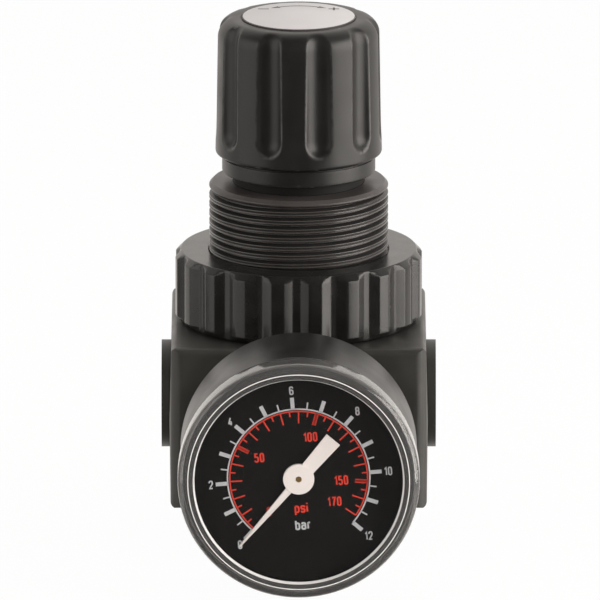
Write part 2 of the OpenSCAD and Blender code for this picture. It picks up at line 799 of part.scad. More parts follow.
module clamp_ring() {
    edge_r = ring_r - ring_chamfer;
    slope = ring_chamfer + over;
    color(plastic_black)
        difference() {
            intersection() {
                slab(-ring_h, 0)
                    polygon(toothed_ring(
                        lobe_count, ring_r - lobe_depth, ring_r,
                        tooth_corners(lobe_flat, lobe_flank), lobe_turn - 90
                    ));
                rotate_extrude()
                    polygon([
                        [0, -ring_h], [edge_r, -ring_h], [edge_r + slope, slope - ring_h],
                        [edge_r + slope, -slope], [edge_r, 0], [0, 0]
                    ]);
            }
            bar(collar_r + thread_gap, -ring_h - over, -lip_t);
            bar(thread_r + free_gap, -lip_t - over, over);
        }
}

module bonnet() {
    groove_r = thread_r - relief_groove;
    shank_hole_r = shank_r + fit_gap;
    key_reach = neck_bore_r + key_depth;
    root_r = thread_r - thread_depth;
    crest = thread_crest * thread_pitch / 2;
    root = thread_root * thread_pitch / 2;
    band_z = thread_h - thread_band;
    turns = floor((band_z + crest) / thread_pitch);
    color(plastic_black)
        difference() {
            union() {
                rotate_extrude()
                    polygon([
                        [bonnet_bore_r, flange_bottom], [collar_r, flange_bottom], [collar_r, -lip_t],
                        [groove_r, -lip_t], [groove_r, 0], [thread_r, 0],
                        for (i = [turns : -1 : 1], corner = [
                            [thread_r, crest], [root_r, thread_pitch / 2 - root],
                            [root_r, thread_pitch / 2 + root], [thread_r, thread_pitch - crest]
                        ]) [corner.x, corner.y + band_z - i * thread_pitch],
                        [thread_r, thread_h - thread_chamfer], [thread_r - thread_chamfer, thread_h],
                        [neck_r, thread_h], [neck_r, neck_top], [shank_hole_r, neck_top],
                        [shank_hole_r, roof_bottom], [neck_bore_r, roof_bottom],
                        [neck_bore_r, bore_top], [bonnet_bore_r, bore_top]
                    ]);
                difference() {
                    slab(lock_foot, lock_foot + lock_tooth_h)
                        polygon(toothed_ring(
                            lock_teeth, neck_r - free_gap, neck_r + lock_tooth,
                            tooth_corners(lock_flat, lock_flank)
                        ));
                    bar(neck_r - 2 * free_gap, lock_foot - over, lock_foot + lock_tooth_h + over);
                }
            }
            block([-key_w / 2, -key_reach, bore_top - over], [key_w / 2, key_reach, roof_bottom]);
        }
}

// The knob

module flute_cutter() {
    rotate_extrude()
        polygon(concat(
            arc(0, flute_end_z, flute_r, -90, 0), [[flute_r, knob_top + over], [0, knob_top + over]]
        ));
}

module knob_ribs() {
    rib_reach = knob_bore_r + free_gap;
    intersection() {
        for (i = [0 : rib_count - 1])
            rotate([0, 0, flute_turn - 90 + (i + rib_shift) * 360 / rib_count])
                block(
                    [hub_r - free_gap, -rib_t / 2, hub_bottom],
                    [rib_reach, rib_t / 2, knob_roof + free_gap]
                );
        bar(rib_reach, hub_bottom, knob_top);
    }
}

module knob() {
    color(plastic_black)
        difference() {
            union() {
                difference() {
                    rotate_extrude()
                        polygon(concat(
                            [
                                [0, knob_bottom], [skirt_r, knob_bottom],
                                [skirt_r, knob_bottom + skirt_h], [grip_r, grip_bottom]
                            ],
                            arc(grip_top_r - shoulder_r, knob_top - shoulder_r, shoulder_r, 0, 90),
                            [[0, knob_top]]
                        ));
                    bar(knob_bore_r, knob_bottom - over, lock_bottom);
                    bar(knob_bore_r, lock_bottom + lock_tooth_h, knob_roof);
                    slab(lock_bottom - over, lock_bottom + lock_tooth_h + over)
                        polygon(toothed_ring(
                            lock_teeth, lock_tip_r, knob_bore_r - face_gap,
                            tooth_corners(lock_flat - lock_play, lock_flank - lock_play / 2)
                        ));
                }
                bar(hub_r, hub_bottom, knob_roof + free_gap);
                knob_ribs();
            }
            hexagon(hex_w + 2 * thread_gap, hub_bottom - over, hub_top + over);
            bar(clip_pocket_r, hub_top, knob_top + over);
            bar(label_r + thread_gap, label_z, knob_top + over);
            for (i = [0 : flute_count - 1])
                rotate([0, 0, flute_turn - 90 + i * 360 / flute_count])
                    translate([flute_centre, 0, 0]) flute_cutter();
        }
}

module knob_label() {
    color(label_grey) bar(label_r, label_z, label_z + label_t);
}

// The adjusting screw and the range spring

module adjusting_screw() {
    groove_r = hex_w / 2 - clip_groove;
    color(steel_grey)
        difference() {
            union() {
                bar(screw_r, screw_bottom, thrust_bottom + over);
                bar(thrust_r, thrust_bottom, washer_bottom);
                bar(shank_r, washer_bottom - over, neck_top + free_gap);
                hexagon(hex_w, neck_top, screw_top);
            }
            tube(2 * shank_r, groove_r, hub_top, hub_top + clip_t);
        }
}

module thrust_washer() {
    color(brass_yellow)
        tube(thrust_r + free_gap, shank_r + thread_gap, washer_bottom + face_gap, roof_bottom);
}

module retaining_clip() {
    groove_r = hex_w / 2 - clip_groove + thread_gap;
    color(steel_grey)
        difference() {
            tube(clip_r, groove_r, hub_top + face_gap, hub_top + clip_t - face_gap);
            block([0, -groove_r, hub_top - over], [clip_r + over, groove_r, hub_top + clip_t + over]);
        }
}

module spring_nut() {
    key_reach = neck_bore_r + key_depth - free_gap;
    ear_half = key_w / 2 - free_gap / 2;
    color(brass_yellow)
        difference() {
            union() {
                bar(neck_bore_r - free_gap, nut_seat, nut_top);
                block([-ear_half, -key_reach, nut_seat], [ear_half, key_reach, nut_top]);
                bar(nut_boss_r, nut_bottom, nut_seat + over);
            }
            bar(screw_r + fit_gap, nut_bottom - over, nut_top + over);
        }
}

module range_spring() {
    seat = range_wire_r + face_gap;
    color(steel_grey) coil(range_coil_r, range_wire_r, plate_top + seat, nut_seat - seat, range_turns);
}

// The diaphragm and the valve

module diaphragm_plate() {
    hole_r = relief_shank_r + thread_gap;
    color(steel_grey)
        rotate_extrude()
            polygon([
                [hole_r, flange_bottom], [plate_r, flange_bottom], [plate_r, plate_top + plate_t],
                [plate_rim_r, plate_top + plate_t], [plate_rim_r, plate_top], [hole_r, plate_top]
            ]);
}

module diaphragm() {
    hole_r = relief_shank_r + thread_gap;
    fold_in = plate_r + free_gap;
    fold_out = sense_chamber_r - free_gap;
    steps = 2 * corner_steps;
    fold = [
        for (i = [0 : steps])
            [fold_in + (fold_out - fold_in) * i / steps, -fold_h * sin(180 * i / steps)]
    ];
    rim_r = collar_r - thread_gap;
    color(rubber_black)
        rotate_extrude()
            polygon(concat(
                [[hole_r, collar_top]], [for (p = fold) p + [0, collar_top]],
                [[rim_r, collar_top], [rim_r, flange_bottom]],
                [for (i = [steps : -1 : 0]) fold[i] + [0, flange_bottom]], [[hole_r, flange_bottom]]
            ));
}

module relief_seat() {
    color(brass_yellow)
        difference() {
            union() {
                bar(relief_r, relief_bottom, collar_top);
                bar(relief_shank_r, relief_bottom, plate_nut_top + free_gap);
            }
            bar(relief_hole_r, relief_bottom - over, plate_nut_top + over);
        }
}

module plate_nut() {
    color(steel_grey)
        difference() {
            hexagon(plate_nut_w, plate_top, plate_nut_top);
            bar(relief_shank_r + thread_gap, plate_top - over, plate_nut_top + over);
        }
}

module valve_stem() {
    color(brass_yellow)
        rotate_extrude()
            polygon([
                [0, tail_bottom], [tail_r, tail_bottom], [tail_r, disc_bottom], [disc_r, disc_bottom],
                [disc_r, disc_top], [stem_r, disc_top], [stem_r, stem_top], [0, stem_top]
            ]);
}

module valve_seal() {
    color(rubber_black) tube(disc_r - free_gap, stem_r + thread_gap, disc_top, seal_top);
}

module valve_spring() {
    seat = valve_wire_r + face_gap;
    color(steel_grey) coil(valve_coil_r, valve_wire_r, pocket_floor + seat, disc_bottom - seat, valve_turns);
}

// Outline of the movement, with its lower corners cut off to clear the Bourdon tube
module movement_slab(back, front) {
    intersection() {
        block([-movement_half_w, -movement_down, back], [movement_half_w, movement_up, front]);
        bar(movement_reach, back, front);
    }
}

// The gauge's stem, case, window and dial

module gauge_stem() {
    half_square = stem_square_w / 2;
    arm_mid = (arm_top + arm_bottom) / 2;
    arm_back = tube_mid - tube_h / 2 - free_gap;
    color(brass_yellow) on_gauge_axis()
        difference() {
            union() {
                bar(gauge_port_r - thread_gap, body_face - stem_thread_h, square_start + over);
                block(
                    [-half_square, -half_square, square_start],
                    [half_square, half_square, case_back - face_gap]
                );
                bar(stem_neck_r, case_back - over, block_back + over);
                movement_slab(block_back, movement_back);
                block([-lug_x - lug_half, -lug_half, block_back], [lug_x + lug_half, lug_half, lug_front]);
                block([-tube_outer_r - free_gap, arm_bottom, arm_back], [0, arm_top, movement_back]);
                block(
                    [-tube_outer_r - free_gap, arm_bottom, arm_back],
                    [tube_w - tube_r, arm_top, tube_mid + tube_h / 2 + free_gap]
                );
            }
            bar(stem_hole_r, body_face - stem_thread_h - over, tube_mid);
            translate([0, 0, tube_mid - stem_hole_r]) rotate([90, 0, 0])
                cylinder(r = stem_hole_r / 2, h = -arm_mid);
            translate([0, arm_mid, tube_mid - stem_hole_r]) rotate([0, -90, 0])
                cylinder(r = stem_hole_r / 2, h = tube_r);
            translate([-tube_r, arm_mid, tube_mid - stem_hole_r]) rotate([-90, 0, 0])
                cylinder(r = stem_hole_r / 2, h = tube_h);
            for (side = [-1, 1]) {
                translate([side * lug_x, 0, 0])
                    bar(shaft_r + thread_gap, block_back - over, lug_front + over);
                translate([side * pillar_x, screw_y, 0])
                    bar(shaft_r + thread_gap, arm_back + over, movement_back + over);
            }
        }
}

module gauge_seal() {
    color(rubber_black) on_gauge_axis()
        tube(stem_square_w / 2, gauge_port_r + free_gap, body_face, square_start);
}

module gauge_case() {
    nose_r = skirt_bore_r - thread_gap;
    ledge_r = case_bore_r - ledge_w;
    hole_r = stem_neck_r + thread_gap;
    color(plastic_black) on_gauge_axis()
        difference() {
            rotate_extrude()
                polygon(concat(
                    [[hole_r, case_back]],
                    arc(case_r - case_edge_r, case_back + case_edge_r, case_edge_r, -90, 0),
                    [
                        [case_r, skirt_start - thread_gap], [nose_r, skirt_start - thread_gap],
                        [nose_r, case_front], [case_bore_r, case_front], [case_bore_r, dial_back],
                        [ledge_r, dial_back], [ledge_r, dial_back - ledge_t],
                        [case_bore_r, dial_back - ledge_t - ledge_w],
                        [case_bore_r, case_back + case_edge_r],
                        [case_bore_r - case_edge_r / 2, case_back + case_wall],
                        [hole_r, case_back + case_wall]
                    ]
                ));
            for (side = [-1, 1])
                translate([side * lug_x, 0, 0])
                    bar(shaft_r + thread_gap, case_back - over, case_back + case_wall + over);
        }
}

module case_screws() {
    color(steel_grey) on_gauge_axis()
        for (side = [-1, 1])
            translate([side * lug_x, 0, 0]) {
                bar(shaft_r, case_back - shaft_r, lug_front);
                bar(screw_head_r, case_back - 2 * shaft_r, case_back);
            }
}

module gauge_window() {
    round_r = rim_h + pane_t / 2;
    rim_front = pane_outer + rim_h;
    color(clear_grey) on_gauge_axis()
        rotate_extrude()
            polygon(concat(
                [
                    [0, pane_inner], [skirt_bore_r, pane_inner], [skirt_bore_r, skirt_start],
                    [window_r - skirt_bevel, skirt_start], [window_r, skirt_start + skirt_bevel]
                ],
                arc(window_r - round_r, rim_front - round_r, round_r, 0, 90),
                [[pane_r + rim_h / 2, rim_front], [pane_r, pane_outer], [0, pane_outer]]
            ));
}

module gauge_dial() {
    color(dial_black) on_gauge_axis()
        tube(case_bore_r - thread_gap, 2 * shaft_r, dial_back, dial_front);
}

// The pointer and the gauge's movement

module pointer() {
    color(pointer_cream) on_gauge_axis() rotate([0, 0, 90 + pointer_zero])
        difference() {
            union() {
                slab(pointer_back, pointer_front)
                    polygon([
                        [-pointer_tail_len, -pointer_tail_end_w / 2], [0, -pointer_tail_w / 2],
                        [0, -needle_w / 2], [needle_len, -needle_tip_w / 2],
                        [needle_len, needle_tip_w / 2], [0, needle_w / 2],
                        [0, pointer_tail_w / 2], [-pointer_tail_len, pointer_tail_end_w / 2]
                    ]);
                bar(pointer_hub_r, pointer_back - thread_gap, pointer_front + thread_gap);
            }
            bar(pin_r, dial_front, pane_inner);
        }
}

module pinion_shaft() {
    pitch = 360 / pinion_teeth;
    teeth = [for (i = [1 : pinion_teeth]) each gear_tooth(pinion_teeth, (i - 0.5) * pitch - 90)];
    color(brass_yellow) on_gauge_axis() {
        bar(shaft_r, movement_back + face_gap, dial_front);
        bar(pin_r - face_gap, dial_front - over, pointer_front + free_gap / 2);
        slab(sector_back - free_gap, sector_back + sector_t + free_gap) polygon(teeth);
    }
}

module sector_gear() {
    pitch = 360 / sector_teeth;
    first = -floor((sector_swing + tooth_margin) / pitch);
    last = floor(tooth_margin / pitch);
    color(brass_yellow) on_gauge_axis() translate([0, -gear_centres, 0])
        difference() {
            union() {
                slab(sector_back, sector_back + sector_t) {
                    polygon(concat(
                        [[0, 0]], [for (i = [first : last]) each gear_tooth(sector_teeth, 90 + i * pitch)]
                    ));
                    circle(r = sector_boss_r);
                    rotate(tail_angle) translate([0, -sector_arm_w / 2]) square([sector_tail, sector_arm_w]);
                    rotate(tail_angle) translate([sector_tail, 0]) circle(r = eye_r);
                }
                bar(shaft_r, movement_back + face_gap, plate_gap_front + movement_plate_t);
            }
            rotate(tail_angle) translate([sector_tail, 0, 0])
                bar(pin_r + fit_gap, sector_back - over, sector_back + sector_t + over);
        }
}

module movement_plate(back) {
    front = back + movement_plate_t;
    difference() {
        movement_slab(back, front);
        for (y = [0, -gear_centres])
            translate([0, y, 0]) bar(shaft_r + fit_gap, back - over, front + over);
        children();
    }
}

module movement_back_plate() {
    color(brass_yellow) on_gauge_axis()
        movement_plate(movement_back)
            for (side = [-1, 1])
                translate([side * pillar_x, screw_y, 0])
                    bar(shaft_r + thread_gap, movement_back - over, plate_gap_back + over);
}

module movement_front_plate() {
    color(brass_yellow) on_gauge_axis() movement_plate(plate_gap_front);
}

module movement_pillars() {
    color(brass_yellow) on_gauge_axis()
        for (side = [-1, 1])
            for (y = [pillar_top, pillar_bottom])
                translate([side * pillar_x, y, 0]) bar(pillar_r, plate_gap_back, plate_gap_front);
}

module movement_screws() {
    color(steel_grey) on_gauge_axis()
        for (side = [-1, 1])
            translate([side * pillar_x, screw_y, 0]) {
                bar(shaft_r, movement_back - tube_h / 2, plate_gap_back + over / 2);
                bar(pillar_r, plate_gap_back, plate_gap_back + pillar_r);
            }
}

module bourdon_tube() {
    color(brass_yellow) on_gauge_axis() rotate([0, 0, tube_end])
        rotate_extrude(angle = tube_sweep)
            translate([tube_r, tube_mid])
                difference() {
                    square([tube_w, tube_h], center = true);
                    square([tube_w - 2 * tube_wall, tube_h - 2 * tube_wall], center = true);
                }
}

module tube_tip() {
    top = link_back - face_gap;
    color(brass_yellow) on_gauge_axis() {
        translate(tip_pin) rotate([0, 0, tip_angle])
            block([-tip_half_w, -tip_len / 2, tube_mid - tube_h / 2], [tip_half_w, tip_len / 2, top]);
        translate(tip_pin) bar(pin_r, top - over, link_back + link_t);
    }
}

module link_rod() {
    reach = tip_pin - tail_pin;
    length = norm(reach);
    color(steel_grey) on_gauge_axis() translate(tail_pin) rotate([0, 0, atan2(reach[1], reach[0])]) {
        difference() {
            slab(link_back, link_back + link_t) {
                translate([0, -link_w / 2]) square([length, link_w]);
                circle(r = eye_r);
                translate([length, 0]) circle(r = eye_r);
            }
            translate([length, 0, 0]) bar(pin_r + thread_gap, link_back - over, link_back + link_t + over);
        }
        bar(pin_r, sector_back, link_back + over / 4);
    }
}

module hairspring() {
    inner_r = shaft_r + thread_gap;
    outer_r = pillar_x;
    steps = hair_turns * turn_rings;
    function spiral(i, side) = polar(inner_r + 2 * hair_w + side * hair_w / 2
        + (outer_r - inner_r - 2 * hair_w) * i / steps, 360 * hair_turns * i / steps);
    color(steel_grey) on_gauge_axis() {
        slab(hair_back, hair_front)
            polygon(concat([for (i = [0 : steps]) spiral(i, 1)], [for (i = [steps : -1 : 0]) spiral(i, -1)]));
        tube(inner_r + 2 * hair_w, inner_r, hair_back, hair_front);
    }
}

valve_body();
clamp_ring();
bonnet();
knob();
knob_label();
adjusting_screw();
thrust_washer();
retaining_clip();
spring_nut();
range_spring();
diaphragm_plate();
diaphragm();
relief_seat();
plate_nut();
valve_stem();
valve_seal();
valve_spring();
stem_oring();
bottom_cap();
bottom_cap_oring();
rear_plug();
rear_plug_seal();
gauge_stem();
gauge_seal();
gauge_case();
case_screws();
gauge_window();
gauge_dial();
pointer();
pinion_shaft();
sector_gear();
movement_back_plate();
movement_front_plate();
movement_pillars();
movement_screws();
bourdon_tube();
tube_tip();
link_rod();
hairspring();
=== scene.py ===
"""Dresses the solids of a compressed-air pressure regulator and its gauge for a studio picture."""

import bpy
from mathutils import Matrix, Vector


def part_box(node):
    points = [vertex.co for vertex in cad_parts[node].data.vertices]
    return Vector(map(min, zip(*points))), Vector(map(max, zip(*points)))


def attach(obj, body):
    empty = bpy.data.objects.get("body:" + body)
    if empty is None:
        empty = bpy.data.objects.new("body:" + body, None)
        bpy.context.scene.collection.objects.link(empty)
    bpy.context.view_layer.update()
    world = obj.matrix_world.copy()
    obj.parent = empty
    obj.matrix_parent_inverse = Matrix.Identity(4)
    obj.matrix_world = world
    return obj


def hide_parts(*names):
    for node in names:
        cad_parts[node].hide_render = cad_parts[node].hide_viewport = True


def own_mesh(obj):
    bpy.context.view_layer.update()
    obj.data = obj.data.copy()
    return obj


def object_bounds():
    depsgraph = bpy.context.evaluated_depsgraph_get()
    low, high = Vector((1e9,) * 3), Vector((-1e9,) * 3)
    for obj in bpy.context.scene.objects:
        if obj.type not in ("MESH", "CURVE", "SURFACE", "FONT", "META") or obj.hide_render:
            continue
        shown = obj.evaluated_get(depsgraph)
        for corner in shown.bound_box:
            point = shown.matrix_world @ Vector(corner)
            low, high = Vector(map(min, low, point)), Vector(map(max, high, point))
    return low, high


bl_info = {
    "name": "Pressure Regulator",
    "version": (1, 0, 0),
    "blender": (4, 5, 0),
    "location": "View3D > Sidebar > Regulator",
    "description": "Builds the finished pieces of an air pressure regulator round its solids",
    "category": "Object",
}

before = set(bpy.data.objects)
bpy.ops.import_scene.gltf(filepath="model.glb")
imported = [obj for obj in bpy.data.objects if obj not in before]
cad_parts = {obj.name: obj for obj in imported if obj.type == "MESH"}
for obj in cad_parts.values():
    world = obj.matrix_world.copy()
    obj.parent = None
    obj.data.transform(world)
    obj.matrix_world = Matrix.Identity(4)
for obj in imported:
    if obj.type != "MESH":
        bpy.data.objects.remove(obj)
cad_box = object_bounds()

import math

import bmesh
import bpy
import numpy as np
from bpy.props import FloatProperty, FloatVectorProperty, IntProperty, PointerProperty
from mathutils import Matrix, Vector

MM = 0.001
MERGE = 1e-6
FULL_TURN = 2 * math.pi
# Bends that are shaded sharp, that are broken, and that a flat face may have
CREASE = math.radians(35)
SHARP = math.radians(30)
FLAT = math.radians(0.5)
# What counts as the same radius, and how far a thread or a tooth is sunk into what carries it
NEAR = 0.02 * MM
THREAD_SINK = 0.02 * MM
TOOTH_SINK = 0.1 * MM
# Columns of the turned pieces, and longest steps along the outlines of those that are shaped all round
COLUMNS = 240
KNOB_COLUMNS = 480
LABEL_COLUMNS = 160
KNOB_STEP = 0.4 * MM
RING_STEP = 0.35 * MM
# Meshes of the threads
PORT_MESH = {"Columns": 96, "Rows per turn": 10}
PANEL_MESH = {"Columns": 160, "Rows per turn": 50}
# Fillets of the turned pieces, the common ones first
HAIR = 0.05 * MM
FINE = 0.1 * MM
SMALL = 0.15 * MM
SOFT = 0.2 * MM
WIDE = 0.3 * MM
PANE_EDGE = 0.08 * MM
BAND_EDGE = 0.12 * MM
LIP_EDGE = 0.25 * MM
NECK_EDGE = 0.4 * MM
# Widths of the broken edges of the other pieces
CASTING_EDGE = 0.3 * MM
CAP_EDGE = 0.35 * MM
BRASS_EDGE = 0.25 * MM
SCREW_EDGE = 0.12 * MM
POINTER_EDGE = 0.05 * MM
# How far the label's print reaches below and above its face
PRINT_SINK = 0.01 * MM
PRINT_RISE = 0.02 * MM
# Corners of a square of two by two
SQUARE = ((-1, -1), (1, -1), (1, 1), (-1, 1))


# Sizes read from the solids

def lowest(node, axis):
    """The lowest coordinate of a solid along X, Y or Z."""
    return getattr(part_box(node)[0], axis)


def highest(node, axis):
    """The highest coordinate of a solid along X, Y or Z."""
    return getattr(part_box(node)[1], axis)


def radius_of(node, across, centre=0.0):
    """The largest distance of a solid's corners from the axis through X zero and a centre along Y or Z."""
    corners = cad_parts[node].data.vertices
    return max(math.hypot(v.co.x, getattr(v.co, across) - centre) for v in corners)


GAUGE_Z = (lowest("gauge_case", "z") + highest("gauge_case", "z")) / 2
FLOOR_Z = cad_box[0][2]


# Settings

def length(name, default, text):
    """A length setting, given in millimetres."""
    return FloatProperty(name=name, description=text, default=default * MM, unit="LENGTH", precision=4)


def angle(name, default, text):
    """An angle setting, given in degrees."""
    return FloatProperty(name=name, description=text, default=math.radians(default), subtype="ANGLE")


def share(name, default, text):
    """A setting between 0 and 1."""
    return FloatProperty(name=name, description=text, default=default, min=0, max=1, subtype="FACTOR")


def number(name, default, text):
    """A plain number."""
    return FloatProperty(name=name, description=text, default=default)


def power(name, default, text):
    """A lamp's power, in watts."""
    return FloatProperty(name=name, description=text, default=default, unit="POWER")


def count(name, default, text):
    """A whole number."""
    return IntProperty(name=name, description=text, default=default, min=1)


def colour(name, default, text):
    """A colour, in linear light."""
    return FloatVectorProperty(name=name, description=text, default=default, size=3, subtype="COLOR")


class KnobSettings(bpy.types.PropertyGroup):
    """Sizes of the knob and its label"""

    skirt_radius: length("Skirt radius", 12.84, "Radius of the skirt below the grip")
    skirt_height: length("Skirt height", 2.55, "Height of the skirt")
    flare_height: length("Flare height", 0.75, "Height of the slope from the skirt to the grip")
    draft: length("Draft", 0.4, "How much narrower the grip is at its shoulder")
    shoulder: length("Shoulder", 2.8, "Radius of the rounded shoulder")
    foot_round: length("Foot round", 0.5, "Radius of the grip's lower edge")
    bore_radius: length("Bore radius", 11.8, "Radius of the hollow inside the grip")
    roof: length("Roof", 2.5, "Thickness of the knob's top")
    hub_radius: length("Hub radius", 8.6, "Radius of the hub on the adjusting screw")
    hub_depth: length("Hub depth", 11.0, "Depth of the hub's lower end below the knob's top")
    hub_grip: length("Hub grip", 4.0, "Height of the hub's hole round the adjusting screw")
    hub_hole: length("Hub hole", 4.75, "Radius of that hole")
    clip_pocket: length("Clip pocket", 6.4, "Radius of the pocket for the retaining clip")
    flutes: count("Flutes", 10, "Number of finger flutes")
    flute_radius: length("Flute radius", 3.0, "Radius of a flute")
    flute_depth: length("Flute depth", 1.3, "Depth of a flute at the grip's foot")
    flute_start: length("Flute start", 7.8, "Height above the knob's edge where a flute has its full width")
    flute_lean: share("Flute lean", 0.6, "How far a flute follows the shoulder inwards")
    flute_turn: angle("Flute turn", 14.4, "Turn of the flutes from the front")
    flute_edge: length("Flute edge", 0.3, "Width of the rounded edge of a flute")
    parting: length("Parting line", 0.24, "Depth and height of the line above the skirt")
    label_gap: length("Label gap", 0.12, "Gap round the label disc")
    # The label's edge is dark as painted shade of the gap round the disc
    label_bevel: length("Label bevel", 0.2, "Width of the label's dark bevelled edge")
    label_drop: length("Label drop", 0.3, "Distance of the label's face below the solid's")
    rim_drop: length("Rim drop", 0.35, "Distance of the rim round the label below the solid's")


class RingSettings(bpy.types.PropertyGroup):
    """Sizes of the clamp ring"""

    lobes: count("Lobes", 20, "Number of lobes")
    lobe_depth: length("Lobe depth", 1.0, "Depth of the grooves between the lobes")
    lobe_flat: share("Lobe flat", 0.31, "Part of the pitch that is a lobe's flat face")
    lobe_flank: share("Lobe flank", 0.26, "Part of the pitch that is one sloping flank")
    lobe_turn: angle("Lobe turn", 8.0, "Turn of the lobes from the front")
    lobe_edge: share("Lobe edge", 0.16, "Softness of a lobe's edges, as a part of its depth")
    chamfer: length("Chamfer", 1.1, "Chamfer at the top and bottom of the lobes")
    chamfer_edge: length("Chamfer edge", 0.12, "Softness of the chamfer's edges")
    lip: length("Lip", 2.5, "Thickness of the inner lip")
    lip_radius: length("Lip radius", 15.06, "Radius of the hole in the lip")
    bore_radius: length("Bore radius", 17.6, "Radius of the thread inside the ring")


class BonnetSettings(bpy.types.PropertyGroup):
    """Sizes of the bonnet"""

    thread_radius: length("Thread radius", 15.0, "Radius of the panel thread at its crests")
    thread_depth: length("Thread depth", 0.92, "Depth of the panel thread")
    thread_pitch: length("Thread pitch", 1.5, "Pitch of the panel thread")
    thread_top: length("Thread top", 11.7, "Height of the panel thread's top")
    thread_end: length("Thread end", 0.6, "Chamfer at the panel thread's top")
    thread_start: length("Thread start", -1.325, "Height where the panel thread starts inside the clamp ring")
    band: length("Band", 0.85, "Height of the plain band above the panel thread")
    lip: length("Lip", 2.5, "Depth of the flange below the clamp ring's top")
    bore_radius: length("Bore radius", 12.0, "Radius of the spring chamber")
    bore_top: length("Bore top", 8.7, "Height of the spring chamber's shoulder")
    neck_radius: length("Neck radius", 10.9, "Radius of the neck inside the knob")
    neck_bore: length("Neck bore", 9.2, "Radius of the neck's bore")
    neck_roof: length("Neck roof", 3.0, "Thickness of the neck's roof")
    screw_hole: length("Screw hole", 4.26, "Radius of the hole for the adjusting screw")
    key_width: length("Key width", 3.0, "Width of the keyways for the spring nut")
    key_reach: length("Key reach", 10.0, "Distance of the keyways' floor from the axis")
    lock_teeth: count("Locking teeth", 30, "Number of locking teeth")
    lock_radius: length("Locking radius", 11.5, "Radius of the locking teeth at their tips")
    lock_height: length("Locking height", 1.4, "Height of the locking teeth")
    lock_rise: length("Locking rise", 2.4, "Height of the teeth above the edges of the bonnet and the knob")
    lock_root: length("Locking root", 1.75, "Width of a locking tooth at its root")
    lock_tip: share("Locking tip", 0.3, "Width of a tooth's tip, as a part of its root")


class PortSettings(bpy.types.PropertyGroup):
    """Sizes of the port threads"""

    crest_radius: length("Crest radius", 5.72, "Radius of the pipe thread's crests")
    root_radius: length("Root radius", 6.58, "Radius of the pipe thread's roots")
    pitch: length("Pitch", 1.337, "Pitch of the pipe thread")
    inset: length("Inset", 0.7, "Distance of the thread's start from the port's face")
    thread_length: length("Thread length", 10.5, "Length of the pipe thread")


class GaugeSettings(bpy.types.PropertyGroup):
    """Sizes of the gauge's case and window"""

    roll: angle("Roll", 4.7, "Turn of the gauge about its axis")
    wall: length("Wall", 1.3, "Wall of the case")
    rear_round: length("Rear round", 2.0, "Radius of the case's rear edge")
    stem_hole: length("Stem hole", 5.5, "Radius of the hole for the gauge's stem")
    ledge: length("Ledge", 1.5, "Width of the ledge behind the dial")
    nose_step: length("Nose step", 0.75, "Depth of the step that the window snaps over")
    skirt_wall: length("Skirt wall", 1.05, "Wall of the window's skirt")
    rim_width: length("Rim width", 2.8, "Width of the window's rim")
    rim_height: length("Rim height", 0.8, "Height of the rim above the pane")
    pane: length("Pane", 1.1, "Thickness of the pane")
    # The slope and the lines below take a frosted finish that is a painted highlight: pale matt rings where
    # the rim's edges catch the light
    rim_slope: length("Rim slope", 0.26, "Width of the frosted slope from the pane to the rim")
    edge_line: length("Edge line", 0.15, "Width of the frosted lines on the rim")
    front_line: length("Front line", 1.1, "Distance of the middle frosted line from the pane's edge")
    outer_line: length("Outer line", 0.68, "Distance of the outer frosted line from the rim's outside")


class DialSettings(bpy.types.PropertyGroup):
    """Sizes of the dial's print"""

    zero: angle("Zero", 225.0, "Direction of the scales' zero from the right")
    per_bar: angle("Per bar", 22.5, "Turn of the pointer for one bar")
    bars: count("Bars", 12, "End of the outer scale")
    bar_number_step: count("Bar number step", 2, "Bars from one outer number to the next")
    per_psi: angle("Per psi", 1.551, "Turn of the pointer for one psi")
    psi: count("Psi", 170, "End of the inner scale")
    ink: length("Ink", 0.03, "Thickness of the printed marks")
    outer_arc: length("Outer arc", 11.85, "Radius of the outer scale's arc")
    inner_arc: length("Inner arc", 11.46, "Radius of the inner scale's arc")
    arc_width: length("Arc width", 0.24, "Width of both arcs")
    bar_tick: length("Bar tick", 13.85, "Radius at a bar mark's outer end")
    half_tick: length("Half tick", 13.05, "Radius at a half-bar mark's outer end")
    ten_tick: length("Ten tick", 9.4, "Radius at a ten-psi mark's inner end")
    five_tick: length("Five tick", 10.55, "Radius at a five-psi mark's inner end")
    wide_mark: length("Wide mark", 0.66, "Width of the wide marks")
    thin_mark: length("Thin mark", 0.24, "Width of the thin marks")
    outer_gap: length("Outer gap", 0.45, "Gap between a bar mark and its number")
    outer_height: length("Outer height", 1.5, "Height of the outer numbers")
    outer_width: length("Outer width", 0.72, "Width of an outer number's figure")
    outer_stroke: length("Outer stroke", 0.24, "Stroke of the outer numbers")
    inner_gap: length("Inner gap", 1.15, "Gap between a ten-psi mark and its number")
    inner_height: length("Inner height", 1.65, "Height of the inner numbers")
    inner_width: length("Inner width", 0.76, "Width of an inner number's figure")
    inner_stroke: length("Inner stroke", 0.27, "Stroke of the inner numbers")
    unit_height: length("Unit height", 1.75, "Height of the units' letters")
    unit_width: length("Unit width", 0.84, "Width of a unit's letter")
    unit_stroke: length("Unit stroke", 0.29, "Stroke of the units' letters")
    psi_drop: length("Psi drop", 5.35, "Distance of the inner unit below the pointer's axis")
    bar_drop: length("Bar drop", 8.15, "Distance of the outer unit below the pointer's axis")


